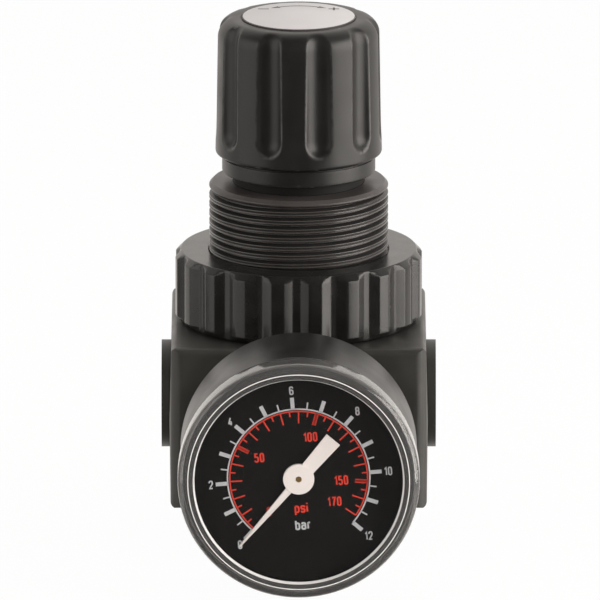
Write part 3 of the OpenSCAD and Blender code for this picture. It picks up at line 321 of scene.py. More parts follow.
class FinishSettings(bpy.types.PropertyGroup):
    """Colours"""

    body: colour("Body", (0.033, 0.0325, 0.0295), "Paint of the cast body")
    plastic: colour("Plastic", (0.0105, 0.01, 0.0093), "Moulded plastic of the knob and the ring")
    thread: colour("Thread", (0.05, 0.0435, 0.0425), "Filled plastic of the bonnet")
    # The panel thread's groove colour is painted shade of its narrow grooves; its crest colour is partly
    # wear, partly painted highlight
    groove: colour("Groove", (0.016, 0.015, 0.0145), "Panel thread between its crests")
    crest: colour("Crest", (0.075, 0.069, 0.066), "Rubbed edges of the panel thread")
    lacquer: colour("Lacquer", (0.009, 0.0088, 0.0083), "Lacquer of the gauge's shell")
    label: colour("Label", (0.66, 0.65, 0.67), "Face of the label disc")
    # The label's print colour also paints the disc's edge as shade
    label_ink: colour("Label ink", (0.045, 0.04, 0.04), "Print on the label disc")
    dial: colour("Dial", (0.0045, 0.0045, 0.0043), "Face of the dial")
    white_ink: colour("White ink", (0.66, 0.68, 0.70), "Outer scale of the dial")
    red_ink: colour("Red ink", (0.80, 0.055, 0.032), "Inner scale of the dial")
    pointer: colour("Pointer", (0.9, 0.845, 0.82), "Paint of the pointer")
    steel: colour("Steel", (0.56, 0.57, 0.58), "Plated steel")
    brass: colour("Brass", (0.66, 0.46, 0.20), "Turned brass")
    haze: colour("Haze", (0.75, 0.75, 0.75), "Rim of the gauge's window")
    # Painted highlight: pale matt rings on the window's rim
    frost: colour("Frost", (0.80, 0.80, 0.80), "Matt edges of that rim")
    rubber: colour("Rubber", (0.014, 0.014, 0.014), "Seals and diaphragm")


class StageSettings(bpy.types.PropertyGroup):
    """Camera, floor and lights"""

    elevation: angle("Elevation", 14.52, "Camera's angle above the horizon")
    distance: length("Distance", 4500.0, "Camera's distance")
    width: length("Width", 100.67, "Width of the view at the object")
    aim_x: length("Aim across", 0.22, "Middle of the view across")
    aim_z: length("Aim height", -9.1, "Height of the view's middle")
    floor: colour("Floor", (0.86, 0.86, 0.86), "Colour of the floor")
    floor_glow: share("Floor glow", 0.97, "Part of the floor's look to the camera that no shadow reaches")
    right_power: power("Right lamp", 5.9, "Main lamp")
    left_power: power("Left lamp", 1.5, "Fill lamp")
    top_power: power("Top lamp", 1.0, "Lamp overhead")
    front_power: power("Front lamp", 0.45, "Even light from the front")
    dial_power: power("Dial lamp", 3.3, "Narrow lamp on the gauge")
    backdrop: number("Backdrop", 1.1, "Brightness of what stands behind, in reflections")
    through: number("Through", 0.15, "Brightness of what is seen through the gauge's window")
    ambient: share("Ambient", 0.42, "Even light from all round")


class RegulatorSettings(bpy.types.PropertyGroup):
    """All settings"""

    knob: PointerProperty(type=KnobSettings)
    ring: PointerProperty(type=RingSettings)
    bonnet: PointerProperty(type=BonnetSettings)
    port: PointerProperty(type=PortSettings)
    gauge: PointerProperty(type=GaugeSettings)
    dial: PointerProperty(type=DialSettings)
    finish: PointerProperty(type=FinishSettings)
    stage: PointerProperty(type=StageSettings)


# Outlines and meshes

def smooth_min(a, b, softness):
    """The lower of two values, with a rounded change from one to the other."""
    overlap = np.maximum(softness - np.abs(a - b), 0) / softness
    return np.minimum(a, b) - overlap ** 2 * softness / 4


def rounded(corners, steps=4):
    """A closed outline from corners of (across, along) or (across, along, fillet radius)."""
    points = []
    for i, corner in enumerate(corners):
        here = Vector(corner[:2])
        if len(corner) == 2:
            points.append(here)
            continue
        to_last = (Vector(corners[i - 1][:2]) - here).normalized()
        to_next = (Vector(corners[(i + 1) % len(corners)][:2]) - here).normalized()
        half = to_last.angle(to_next) / 2
        middle = here + (to_last + to_next).normalized() * corner[2] / math.sin(half)
        spoke = here + to_last * corner[2] / math.tan(half) - middle
        turn = math.copysign(math.pi - 2 * half, to_last.cross(to_next))
        points += [middle + Matrix.Rotation(-turn * k / steps, 2) @ spoke for k in range(steps + 1)]
    return points


def finely(points, step):
    """An open outline with no stretch longer than a step."""
    fine = [points[0]]
    for start, end in zip(points, points[1:]):
        parts = max(1, math.ceil((end - start).length / step))
        fine += [start.lerp(end, k / parts) for k in range(1, parts + 1)]
    return fine


def turns(columns):
    """Evenly spaced directions round a full turn."""
    return [FULL_TURN * i / columns for i in range(columns)]


def cleaned(mesh):
    """The same mesh with its doubles merged, its slivers gone and its faces pointing outwards."""
    work = bmesh.new()
    work.from_mesh(mesh)
    bmesh.ops.remove_doubles(work, verts=work.verts, dist=MERGE)
    bmesh.ops.dissolve_degenerate(work, edges=work.edges, dist=MERGE)
    bmesh.ops.recalc_face_normals(work, faces=work.faces)
    work.to_mesh(mesh)
    work.free()
    return mesh


def mesh_of(points, faces):
    """A clean mesh from points and faces."""
    mesh = bpy.data.meshes.new("shape")
    mesh.from_pydata([tuple(p) for p in points], [], faces)
    return cleaned(mesh)


def lathe(outline, directions, shape=None):
    """A closed outline of (radius, height) turned about the Z axis. shape changes the radius by place."""
    rows, columns = len(outline), len(directions)
    turn = np.array(directions)[None, :]
    radius = np.repeat(np.array([p[0] for p in outline])[:, None], columns, axis=1)
    height = np.repeat(np.array([p[1] for p in outline])[:, None], columns, axis=1)
    if shape:
        radius = shape(radius, height, turn)
    points = np.stack((radius * np.cos(turn), radius * np.sin(turn), height), axis=-1).reshape(-1, 3)
    faces = [
        (i * columns + j, i * columns + (j + 1) % columns,
         (i + 1) % rows * columns + (j + 1) % columns, (i + 1) % rows * columns + j)
        for i in range(rows) for j in range(columns)
    ]
    return mesh_of(points, faces)


def joined(meshes):
    """One mesh from several, which are used up."""
    work = bmesh.new()
    for mesh in meshes:
        work.from_mesh(mesh)
        bpy.data.meshes.remove(mesh)
    result = bpy.data.meshes.new("shape")
    work.to_mesh(result)
    work.free()
    return result


def solid_copy(node):
    """A merged copy of a solid's mesh, with its flat faces whole."""
    work = bmesh.new()
    work.from_mesh(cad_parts[node].data)
    bmesh.ops.remove_doubles(work, verts=work.verts, dist=MERGE)
    bmesh.ops.dissolve_limit(work, angle_limit=FLAT, verts=work.verts, edges=work.edges)
    work.verts.index_update()
    points = [v.co.copy() for v in work.verts]
    faces = [[v.index for v in f.verts] for f in work.faces]
    work.free()
    mesh = bpy.data.meshes.new(node)
    mesh.from_pydata(points, [], faces)
    return mesh


def piece(name, mesh, material, body, nodes=()):
    """An object for a mesh, with its finish, that rides on a body and stands for some solids."""
    mesh.name = name
    mesh.materials.clear()
    mesh.materials.append(material)
    mesh.shade_smooth()
    mesh.set_sharp_from_angle(angle=CREASE)
    thing = bpy.data.objects.new(name, mesh)
    bpy.context.scene.collection.objects.link(thing)
    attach(thing, body)
    if nodes:
        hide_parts(*nodes)
    return thing


def break_edges(thing, width, segments=3):
    """Rounds the sharp edges of a piece by a width."""
    bevel = thing.modifiers.new("Broken edges", "BEVEL")
    bevel.width = width
    bevel.segments = segments
    bevel.limit_method = "ANGLE"
    bevel.angle_limit = SHARP
    bevel.miter_outer = "MITER_ARC"
    normals = thing.modifiers.new("Even shading", "WEIGHTED_NORMAL")
    normals.keep_sharp = True


def eased_copy(name, node, material, body, width, segments=3):
    """A piece in a solid's own shape, with its sharp edges rounded."""
    break_edges(piece(name, solid_copy(node), material, body, [node]), width, segments)


def gauge_frame(settings):
    """Turns the Z axis to the gauge's front and the Y axis up, at the gauge's axis."""
    lift = Matrix.Translation((0, 0, GAUGE_Z)) @ Matrix.Rotation(math.pi / 2, 4, "X")
    return lift @ Matrix.Rotation(settings.gauge.roll, 4, "Z")


# Node trees

class Value:
    """A value in a node tree. Arithmetic with it adds Math nodes to the tree."""

    def __init__(self, tree, socket):
        self.tree = tree
        self.socket = socket

    def maths(self, operation, *others):
        """The result of one Math node."""
        node = add(self.tree, "ShaderNodeMath", dict(enumerate((self, *others))), operation=operation)
        return Value(self.tree, node.outputs[0])

    def remap(self, old_low, old_high, low, high):
        """The value carried from one range to another and held within it."""
        ends = {"Value": self, "From Min": old_low, "From Max": old_high, "To Min": low, "To Max": high}
        return Value(self.tree, add(self.tree, "ShaderNodeMapRange", ends).outputs["Result"])

    def __add__(self, other):
        return self.maths("ADD", other)

    def __sub__(self, other):
        return self.maths("SUBTRACT", other)

    def __mul__(self, other):
        return self.maths("MULTIPLY", other)

    def __truediv__(self, other):
        return self.maths("DIVIDE", other)


def feed(tree, node, inputs):
    """Sets a node's inputs, each to a plain value or to another node's output."""
    for name, value in inputs.items():
        if isinstance(value, Value):
            value = value.socket
        if isinstance(value, bpy.types.NodeSocket):
            tree.links.new(value, node.inputs[name])
        else:
            node.inputs[name].default_value = value


def add(tree, kind, inputs=None, **options):
    """A node with its options and its inputs."""
    made = tree.nodes.new(kind)
    for name, value in options.items():
        setattr(made, name, value)
    feed(tree, made, inputs or {})
    return made


def vector(tree, x=0.0, y=0.0, z=0.0):
    """A vector from its three parts."""
    return add(tree, "ShaderNodeCombineXYZ", {"X": x, "Y": y, "Z": z}).outputs[0]


def on_circle(tree, radius, turn, height=0.0):
    """A place at a distance from the Z axis, in a direction and at a height."""
    return vector(tree, radius * turn.maths("COSINE"), radius * turn.maths("SINE"), height)


def own_place(tree):
    """The three parts of a point's own position."""
    here = add(tree, "GeometryNodeInputPosition").outputs[0]
    return [Value(tree, part) for part in add(tree, "ShaderNodeSeparateXYZ", {0: here}).outputs]


def node_tree(name, kind, inputs, outputs):
    """A new node group with named sockets, its inputs as values, and its output node's sockets."""
    tree = bpy.data.node_groups.new(name, kind)
    for socket, socket_kind in inputs:
        tree.interface.new_socket(socket, in_out="INPUT", socket_type="NodeSocket" + socket_kind)
    for socket, socket_kind in outputs:
        tree.interface.new_socket(socket, in_out="OUTPUT", socket_type="NodeSocket" + socket_kind)
    given = tree.nodes.new("NodeGroupInput").outputs
    values = {socket: Value(tree, given[socket]) for socket, _ in inputs}
    return tree, values, tree.nodes.new("NodeGroupOutput").inputs


def geometry_tree(name, counts, sizes):
    """A geometry tree with named whole numbers, sizes and a material, and its inputs and output."""
    inputs = [(c, "Int") for c in counts] + [(s, "Float") for s in sizes] + [("Material", "Material")]
    return node_tree(name, "GeometryNodeTree", inputs, [("Geometry", "Geometry")])


def put_out(tree, shape, given, out):
    """Ends a geometry tree: its shape as one plain mesh with its material."""
    whole = add(tree, "GeometryNodeRealizeInstances", {"Geometry": shape.outputs[0]})
    look = {"Geometry": whole.outputs[0], "Material": given["Material"]}
    tree.links.new(add(tree, "GeometryNodeSetMaterial", look).outputs[0], out["Geometry"])
    return tree


def grown(tree, values):
    """The plain mesh that a geometry tree makes from named values."""
    carrier = bpy.data.objects.new("carrier", bpy.data.meshes.new("carrier"))
    bpy.context.scene.collection.objects.link(carrier)
    modifier = carrier.modifiers.new("Shape", "NODES")
    modifier.node_group = tree
    for socket in tree.interface.items_tree:
        if socket.in_out == "INPUT":
            modifier[socket.identifier] = values[socket.name]
    evaluated = carrier.evaluated_get(bpy.context.evaluated_depsgraph_get())
    mesh = bpy.data.meshes.new_from_object(evaluated)
    bpy.data.objects.remove(carrier)
    return cleaned(mesh)


def ring_of_blocks():
    """Blocks in a ring: the marks of a dial, or locking teeth that narrow towards their tips."""
    name = "Ring of blocks"
    if name in bpy.data.node_groups:
        return bpy.data.node_groups[name]
    sizes = ["Inner radius", "Outer radius", "Width", "Tip share", "Height", "Start", "Step"]
    tree, given, out = geometry_tree(name, ["Count"], sizes)
    reach = given["Outer radius"] - given["Inner radius"]
    middle = (given["Outer radius"] + given["Inner radius"]) * 0.5
    turn = given["Start"] + given["Step"] * Value(tree, add(tree, "GeometryNodeInputIndex").outputs[0])
    points = add(tree, "GeometryNodePoints", {
        "Count": given["Count"], "Position": on_circle(tree, middle, turn),
    })
    block = add(tree, "GeometryNodeMeshCube", {"Size": vector(tree, reach, given["Width"], given["Height"])})
    x, y, z = own_place(tree)
    narrowing = (x / reach + 0.5).remap(0.0, 1.0, 1.0, given["Tip share"])
    tooth = add(tree, "GeometryNodeSetPosition", {
        "Geometry": block.outputs["Mesh"], "Position": vector(tree, x, y * narrowing, z),
    })
    ring = add(tree, "GeometryNodeInstanceOnPoints", {
        "Points": points.outputs[0], "Instance": tooth.outputs[0], "Rotation": vector(tree, z=turn),
    })
    return put_out(tree, ring, given, out)


# Flat parts of a thread's pitch, at its crests and at its roots
CREST_SHARE = 0.42
ROOT_SHARE = 0.14
# Width of the seam along a crest, as a part of the pitch, and its depth, as a part of the thread's
SEAM_WIDTH = 0.28
SEAM_SHARE = 0.22


def screw_thread():
    """A sleeve with a screw thread that faces away from its base and fades out at both ends."""
    name = "Screw thread"
    if name in bpy.data.node_groups:
        return bpy.data.node_groups[name]
    sizes = ["Crest radius", "Root radius", "Base radius", "Length", "Pitch"]
    tree, given, out = geometry_tree(name, ["Columns", "Rows per turn"], sizes)
    crest, root, base, long, pitch = (given[size] for size in sizes)
    wound = long / pitch + 1.0
    rows = (wound * given["Rows per turn"]).maths("CEIL")
    # The sheet's first row and its last two lie on the base and close the sleeve
    sheet_rows = rows + 3.0
    sheet = add(tree, "GeometryNodeMeshGrid", {
        "Size X": 1.0, "Size Y": 1.0,
        "Vertices X": given["Columns"] + 1.0, "Vertices Y": sheet_rows + 1.0,
    })
    x, y, _ = own_place(tree)
    round_share = x + 0.5
    row = ((y + 0.5) * sheet_rows).maths("ROUND")
    climbed = wound * ((row - 1.0) / rows) + (round_share - 1.0)
    height = (climbed * pitch).remap(0.0, long, 0.0, long)
    phase = (height / pitch - round_share).maths("FRACT")
    to_crest = (phase - 0.5).maths("ABSOLUTE") * 2.0
    ridge = to_crest.remap(CREST_SHARE, 1 - ROOT_SHARE, 1.0, 0.0)
    seam = to_crest.remap(0.0, SEAM_WIDTH, SEAM_SHARE, 0.0)
    to_end = height.maths("MINIMUM", long - height)
    risen = (ridge - seam).maths("MINIMUM", to_end / (crest - root).maths("ABSOLUTE"))
    threaded = risen.remap(0.0, 1.0, root, crest)
    on_thread = row.maths("GREATER_THAN", 0.5) * row.maths("LESS_THAN", rows + 1.5)
    radius = on_thread.remap(0.0, 1.0, base, threaded)
    closing = row.maths("GREATER_THAN", rows + 2.5)
    sleeve = add(tree, "GeometryNodeSetPosition", {
        "Geometry": sheet.outputs["Mesh"],
        "Position": on_circle(tree, radius, round_share * FULL_TURN, height - height * closing),
    })
    closed = add(tree, "GeometryNodeMergeByDistance", {"Geometry": sleeve.outputs[0], "Distance": MERGE})
    return put_out(tree, closed, given, out)


# Finishes

def grain_group():
    """Fine moulded or sprayed texture: a height for a bump, and a slow mottle."""
    name = "Surface grain"
    if name in bpy.data.node_groups:
        return bpy.data.node_groups[name]
    outputs = [("Height", "Float"), ("Cloud", "Float")]
    tree, given, out = node_tree(name, "ShaderNodeTree", [("Grain", "Float"), ("Mottle", "Float")], outputs)
    place = add(tree, "ShaderNodeTexCoord").outputs["Object"]
    fine = add(tree, "ShaderNodeTexNoise", {"Vector": place, "Scale": given["Grain"], "Detail": 3.0})
    slow = add(tree, "ShaderNodeTexNoise", {"Vector": place, "Scale": given["Mottle"], "Detail": 4.0})
    tree.links.new(fine.outputs["Fac"], out["Height"])
    cloud = Value(tree, slow.outputs["Fac"]).remap(0.3, 0.7, 0.0, 1.0)
    tree.links.new(cloud.socket, out["Cloud"])
    return tree


def edge_group():
    """Where edges stand out: partly wear, partly a painted highlight along them, broken up by a noise."""
    name = "Rubbed edges"
    if name in bpy.data.node_groups:
        return bpy.data.node_groups[name]
    inputs = [("Onset", "Float"), ("Full", "Float"), ("Breaks", "Float")]
    tree, given, out = node_tree(name, "ShaderNodeTree", inputs, [("Mask", "Float")])
    bend = Value(tree, add(tree, "ShaderNodeNewGeometry").outputs["Pointiness"])
    place = add(tree, "ShaderNodeTexCoord").outputs["Object"]
    breaks = add(tree, "ShaderNodeTexNoise", {"Vector": place, "Scale": given["Breaks"], "Detail": 3.0})
    worn = bend.remap(given["Onset"], given["Full"], 0.0, 1.0)
    patchy = Value(tree, breaks.outputs["Fac"]).remap(0.35, 0.6, 0.25, 1.0)
    tree.links.new((worn * patchy).socket, out["Mask"])
    return tree


def rubbed_edges(onset, full, breaks):
    """A maker of masks of the edges whose bend is past an onset, which are painted paler: partly wear, partly
    painted highlight.
    """
    def mask(tree, settings):
        ends = {"Onset": onset, "Full": full, "Breaks": breaks}
        return Value(tree, add(tree, "ShaderNodeGroup", ends, node_tree=edge_group()).outputs["Mask"])
    return mask


# Depth below the panel thread's crests where the wear and painted highlight start, and where they are full
CREST_LOW = 0.07 * MM
CREST_HIGH = 0.02 * MM


def rubbed_crests(tree, settings):
    """A mask of what stands out furthest from the Z axis: the crests of the panel thread, painted paler as
    partly wear, partly painted highlight.
    """
    crest = settings.bonnet.thread_radius
    place = add(tree, "ShaderNodeTexCoord").outputs["Object"]
    flat = add(tree, "ShaderNodeVectorMath", {0: place, 1: (1, 1, 0)}, operation="MULTIPLY").outputs[0]
    reach = add(tree, "ShaderNodeVectorMath", {0: flat}, operation="LENGTH").outputs["Value"]
    return Value(tree, reach).remap(crest - CREST_LOW, crest - CREST_HIGH, 0.0, 1.0)


# Colour, change of colour in the mottle or a second colour, roughness and its spread, grain, depth in mm
FINISHES = {
    "Sprayed paint": ("body", 0.02, 0.42, 0.05, 2200, 0.006),
    "Moulded plastic": ("plastic", 0.012, 0.24, 0.04, 3200, 0.003),
    "Knob plastic": ("plastic", 0.06, 0.4, 0.04, 3200, 0.003),
    # Darker, duller plastic for the bonnet's neck: painted shade under the knob
    "Dull plastic": ("plastic", 0.006, 0.65, 0.05, 3200, 0.003),
    "Filled plastic": ("thread", 0.025, 0.4, 0.05, 3000, 0.005),
    # The panel thread: a dark base of painted shade, and crests paler by wear and painted highlight
    "Rubbed thread": ("groove", "crest", 0.48, 0.04, 3000, 0.004),
    "Gauge lacquer": ("lacquer", 0.008, 0.36, 0.04, 2600, 0.004),
    "Label card": ("label", -0.03, 0.45, 0.05, 1800, 0.002),
    # Also on the label's bevelled edge, as painted shade
    "Label print": ("label_ink", 0.05, 0.5, 0.05, 2500, 0.002),
    "Dial black": ("dial", 0.004, 0.55, 0.05, 2400, 0.003),
    "White print": ("white_ink", -0.06, 0.5, 0.05, 2600, 0.002),
    "Red print": ("red_ink", (-0.08, 0, 0), 0.5, 0.05, 2600, 0.002),
    "Pointer cream": ("pointer", -0.05, 0.42, 0.05, 2200, 0.002),
    "Plated steel": ("steel", -0.08, 0.3, 0.06, 2600, 0.002),
    "Turned brass": ("brass", -0.06, 0.3, 0.06, 2600, 0.002),
    "Seal rubber": ("rubber", 0.01, 0.62, 0.06, 1600, 0.004),
    "Hazy acrylic": ("haze", 0.1, 0.07, 0.03, 900, 0.002),
    # Painted highlight on the window's rim
    "Frosted acrylic": ("frost", 0.05, 0.3, 0.05, 1500, 0.002),
}
# How much of a finish's second colour its mottle shows, where it isn't the common share
CLOUD_SHARE = 0.5
CLOUD_SHARES = {"Knob plastic": 0.08, "Rubbed thread": 0.08}
# How many times coarser the mottle is than the grain
MOTTLE = 14
# Where a finish is worn and given a painted highlight: the mask, how much of the second colour it shows, and
# the gloss it adds
RUBBED_AND_HIGHLIT = {
    "Sprayed paint": (rubbed_edges(0.52, 0.6, 440), 0.6, 0.0),
    "Moulded plastic": (rubbed_edges(0.52, 0.6, 640), 0.4, 0.0),
    "Knob plastic": (rubbed_edges(0.508, 0.54, 640), 0.9, 0.12),
    "Filled plastic": (rubbed_edges(0.52, 0.6, 600), 0.8, 0.0),
    "Rubbed thread": (rubbed_crests, 1.0, 0.25),
}
SHADER_VALUES = {
    "Dull plastic": {"Specular IOR Level": 0.2},
    "Rubbed thread": {"Specular IOR Level": 0.85},
    "Gauge lacquer": {"Specular IOR Level": 0.42},
    "Dial black": {"Specular IOR Level": 0.15},
    "Plated steel": {"Metallic": 1.0},
    "Turned brass": {"Metallic": 1.0},
    "Hazy acrylic": {"Transmission Weight": 0.93},
}


def new_material(name):
    """A new material, its tree and its shader."""
    material = bpy.data.materials.new(name)
    material.use_nodes = True
    return material, material.node_tree, material.node_tree.nodes["Principled BSDF"]


def finish(settings, name):
    """A finish whose colour, gloss and surface vary finely, and are changed by a mask of wear and painted
    highlight.
    """
    if name in bpy.data.materials:
        return bpy.data.materials[name]
    tone, change, rough, spread, grain, depth = FINISHES[name]
    base = tuple(getattr(settings.finish, tone))
    pale = getattr(settings.finish, change) if isinstance(change, str) else np.add(base, change)
    material, tree, surface = new_material(name)
    sizes = {"Grain": grain, "Mottle": grain / MOTTLE}
    texture = add(tree, "ShaderNodeGroup", sizes, node_tree=grain_group()).outputs
    cloud = Value(tree, texture["Cloud"])
    mix = cloud * CLOUD_SHARES.get(name, CLOUD_SHARE)
    gloss = cloud.remap(0.0, 1.0, rough - spread, rough + spread)
    # Pale edges are partly wear, partly painted highlight
    if name in RUBBED_AND_HIGHLIT:
        make_mask, shown, shine = RUBBED_AND_HIGHLIT[name]
        mask = make_mask(tree, settings)
        mix = mix.maths("MAXIMUM", mask * shown)
        gloss = gloss - mask * shine
    tint = add(tree, "ShaderNodeMix", {"Factor": mix, "A": (*base, 1), "B": (*pale, 1)}, data_type="RGBA")
    relief = add(tree, "ShaderNodeBump", {"Height": texture["Height"], "Distance": depth * MM})
    feed(tree, surface, {
        "Base Color": tint.outputs["Result"], "Roughness": gloss, "Normal": relief.outputs["Normal"],
        **SHADER_VALUES.get(name, {}),
    })
    return material


def clear_finish():
    """Clear plastic that lets the lamps through to the dial."""
    name = "Clear acrylic"
    if name in bpy.data.materials:
        return bpy.data.materials[name]
    material, tree, glass = new_material(name)
    sizes = {"Grain": 900, "Mottle": 90}
    texture = add(tree, "ShaderNodeGroup", sizes, node_tree=grain_group()).outputs
    feed(tree, glass, {
        "Base Color": (0.99, 0.992, 0.995, 1), "Transmission Weight": 1.0, "IOR": 1.49,
        "Roughness": Value(tree, texture["Cloud"]).remap(0.0, 1.0, 0.015, 0.05),
    })
    clear = add(tree, "ShaderNodeBsdfTransparent")
    shadow = add(tree, "ShaderNodeLightPath").outputs["Is Shadow Ray"]
    both = add(tree, "ShaderNodeMixShader", {0: shadow, 1: glass.outputs[0], 2: clear.outputs[0]})
    tree.links.new(both.outputs[0], tree.nodes["Material Output"].inputs["Surface"])
    return material


# The body and what closes it

def widen_ports(mesh, port):
    """Moves the walls of the two pipe ports out to the roots of their threads."""
    inner_end = highest("valve_body", "x") / 3
    for vertex in mesh.vertices:
        across = Vector((vertex.co.y, vertex.co.z - GAUGE_Z))
        on_wall = abs(across.length - port.crest_radius) < NEAR
        if on_wall and abs(vertex.co.x) > inner_end:
            across *= port.root_radius / across.length
            vertex.co.y = across.x
            vertex.co.z = across.y + GAUGE_Z


def make_body(settings):
    """The cast body with its threaded ports, the bottom cap and the rear plug."""
    port = settings.port
    paint = finish(settings, "Sprayed paint")
    shell = solid_copy("valve_body")
    widen_ports(shell, port)
    break_edges(piece("body_casting", shell, paint, "housing", ["valve_body"]), CASTING_EDGE)
    face = highest("valve_body", "x")
    for name, side in (("inlet_thread", -1), ("outlet_thread", 1)):
        thread = grown(screw_thread(), {
            "Crest radius": port.crest_radius, "Root radius": port.root_radius,
            "Base radius": port.root_radius + THREAD_SINK, "Length": port.thread_length,
            "Pitch": port.pitch, "Material": paint, **PORT_MESH,
        })
        start = Matrix.Translation((side * (face - port.inset), 0, GAUGE_Z))
        thread.transform(start @ Matrix.Rotation(-side * math.pi / 2, 4, "Y"))
        piece(name, thread, paint, "housing")
    plastic = finish(settings, "Moulded plastic")
    eased_copy("bottom_plug", "bottom_cap", plastic, "housing", CAP_EDGE)
    brass = finish(settings, "Turned brass")
    eased_copy("rear_port_plug", "rear_plug", brass, "housing", BRASS_EDGE)


# The clamp ring and the bonnet

def lobe_directions(ring):
    """Directions round the clamp ring, close together at the edges of each lobe."""
    edge = ring.lobe_flat / 2
    foot = edge + ring.lobe_flank
    spread = ring.lobe_edge * ring.lobe_flank
    corners = [c + spread * k for c in (-foot, -edge, edge, foot) for k in (-1, -0.5, 0, 0.5, 1)]
    parts = sorted(corners + [0.0, 0.5])
    pitch = FULL_TURN / ring.lobes
    first = ring.lobe_turn - math.pi / 2
    return [first + (i + part) * pitch for i in range(ring.lobes) for part in parts]


def make_clamp_ring(settings):
    """The clamp ring, whose lobes have chamfered ends."""
    ring = settings.ring
    top = highest("clamp_ring", "z")
    bottom = lowest("clamp_ring", "z")
    outer = radius_of("clamp_ring", "y")
    pitch = FULL_TURN / ring.lobes

    def lobed(radius, height, turn):
        part = np.mod((turn + math.pi / 2 - ring.lobe_turn) / pitch + 0.5, 1) - 0.5
        rise = (ring.lobe_flat / 2 + ring.lobe_flank - np.abs(part)) / ring.lobe_flank
        rise = -smooth_min(-rise, np.zeros_like(rise), ring.lobe_edge)
        rise = smooth_min(rise, np.ones_like(rise), ring.lobe_edge)
        return smooth_min(radius, outer - ring.lobe_depth * (1 - rise), ring.chamfer_edge)

    edge = outer - ring.chamfer
    outline = rounded([
        (ring.bore_radius, bottom), (edge, bottom, FINE), (outer, bottom + ring.chamfer, SMALL),
        (outer, top - ring.chamfer, SMALL), (edge, top, SMALL), (ring.lip_radius, top, LIP_EDGE),
        (ring.lip_radius, top - ring.lip), (ring.bore_radius, top - ring.lip),
    ])
    mesh = lathe(finely(outline, RING_STEP), lobe_directions(ring), lobed)
    plastic = finish(settings, "Moulded plastic")
    piece("ribbed_ring", mesh, plastic, "housing", ["clamp_ring"])


def lock_teeth(bonnet, edge, start, inner, outer, width, tip_share, material):
    """A ring of locking teeth above the edge of the bonnet or of the knob."""
    step = FULL_TURN / bonnet.lock_teeth
    teeth = grown(ring_of_blocks(), {
        "Count": bonnet.lock_teeth, "Inner radius": inner, "Outer radius": outer, "Width": width,
        "Tip share": tip_share, "Height": bonnet.lock_height, "Start": start * step, "Step": step,
        "Material": material,
    })
    teeth.transform(Matrix.Translation((0, 0, edge + bonnet.lock_rise + bonnet.lock_height / 2)))
    return teeth


def make_bonnet(settings):
    """The bonnet's core, its panel thread and its locking teeth."""
    bonnet = settings.bonnet
    plastic = finish(settings, "Filled plastic")
    # The panel thread's finish: dark as painted shade of its grooves, with crests paler by wear and painted
    # highlight
    thread_shade_and_wear = finish(settings, "Rubbed thread")
    bottom = lowest("bonnet", "z")
    neck_top = highest("bonnet", "z")
    flange = radius_of("bonnet", "y")
    root = bonnet.thread_radius - bonnet.thread_depth
    band = bonnet.thread_top - bonnet.band

    def keyed(radius, height, turn):
        on_bore = np.abs(radius - bonnet.neck_bore) < NEAR
        in_key = np.abs(radius * np.cos(turn)) < bonnet.key_width / 2
        # The keyways lie along Y, so smaller sines are never used
        floor = bonnet.key_reach / np.maximum(np.abs(np.sin(turn)), 0.5)
        return np.where(on_bore & in_key, floor, radius)

    outline = rounded([
        (bonnet.bore_radius, bottom), (flange, bottom), (flange, -bonnet.lip),
        (root, -bonnet.lip), (root, band - bonnet.thread_depth / 2),
        (bonnet.thread_radius, band, BAND_EDGE),
        (bonnet.thread_radius, bonnet.thread_top - bonnet.thread_end, SOFT),
        (bonnet.thread_radius - bonnet.thread_end, bonnet.thread_top, SOFT),
        (bonnet.neck_radius, bonnet.thread_top, SOFT), (bonnet.neck_radius, neck_top, NECK_EDGE),
        (bonnet.screw_hole, neck_top, SOFT), (bonnet.screw_hole, neck_top - bonnet.neck_roof),
        (bonnet.neck_bore, neck_top - bonnet.neck_roof), (bonnet.neck_bore, bonnet.bore_top),
        (bonnet.bore_radius, bonnet.bore_top),
    ])
    core = lathe(outline, turns(COLUMNS), keyed)
    piece("bonnet_core", core, plastic, "housing", ["bonnet"])
    # The neck above the thread gets the darker finish: painted shade under the knob
    core.materials.append(finish(settings, "Dull plastic"))
    for face in core.polygons:
        if face.center.z > bonnet.thread_top:
            face.material_index = 1
    thread = grown(screw_thread(), {
        "Crest radius": bonnet.thread_radius, "Root radius": root, "Base radius": root - THREAD_SINK,
        "Length": band - bonnet.thread_start, "Pitch": bonnet.thread_pitch,
        "Material": thread_shade_and_wear, **PANEL_MESH,
    })
    thread.transform(Matrix.Translation((0, 0, bonnet.thread_start)))
    piece("panel_thread", thread, thread_shade_and_wear, "housing")
    teeth = lock_teeth(bonnet, bonnet.thread_top, 0.0, bonnet.neck_radius - TOOTH_SINK, bonnet.lock_radius,
                       bonnet.lock_root, bonnet.lock_tip, plastic)
    piece("bonnet_teeth", teeth, plastic, "housing")


# The knob and its label

# The knob's locking teeth: gap to the bonnet's neck, width at the tip, and root as a multiple of it
TOOTH_GAP = 0.15 * MM
TOOTH_TIP = 0.5 * MM
TOOTH_SPREAD = 3.0


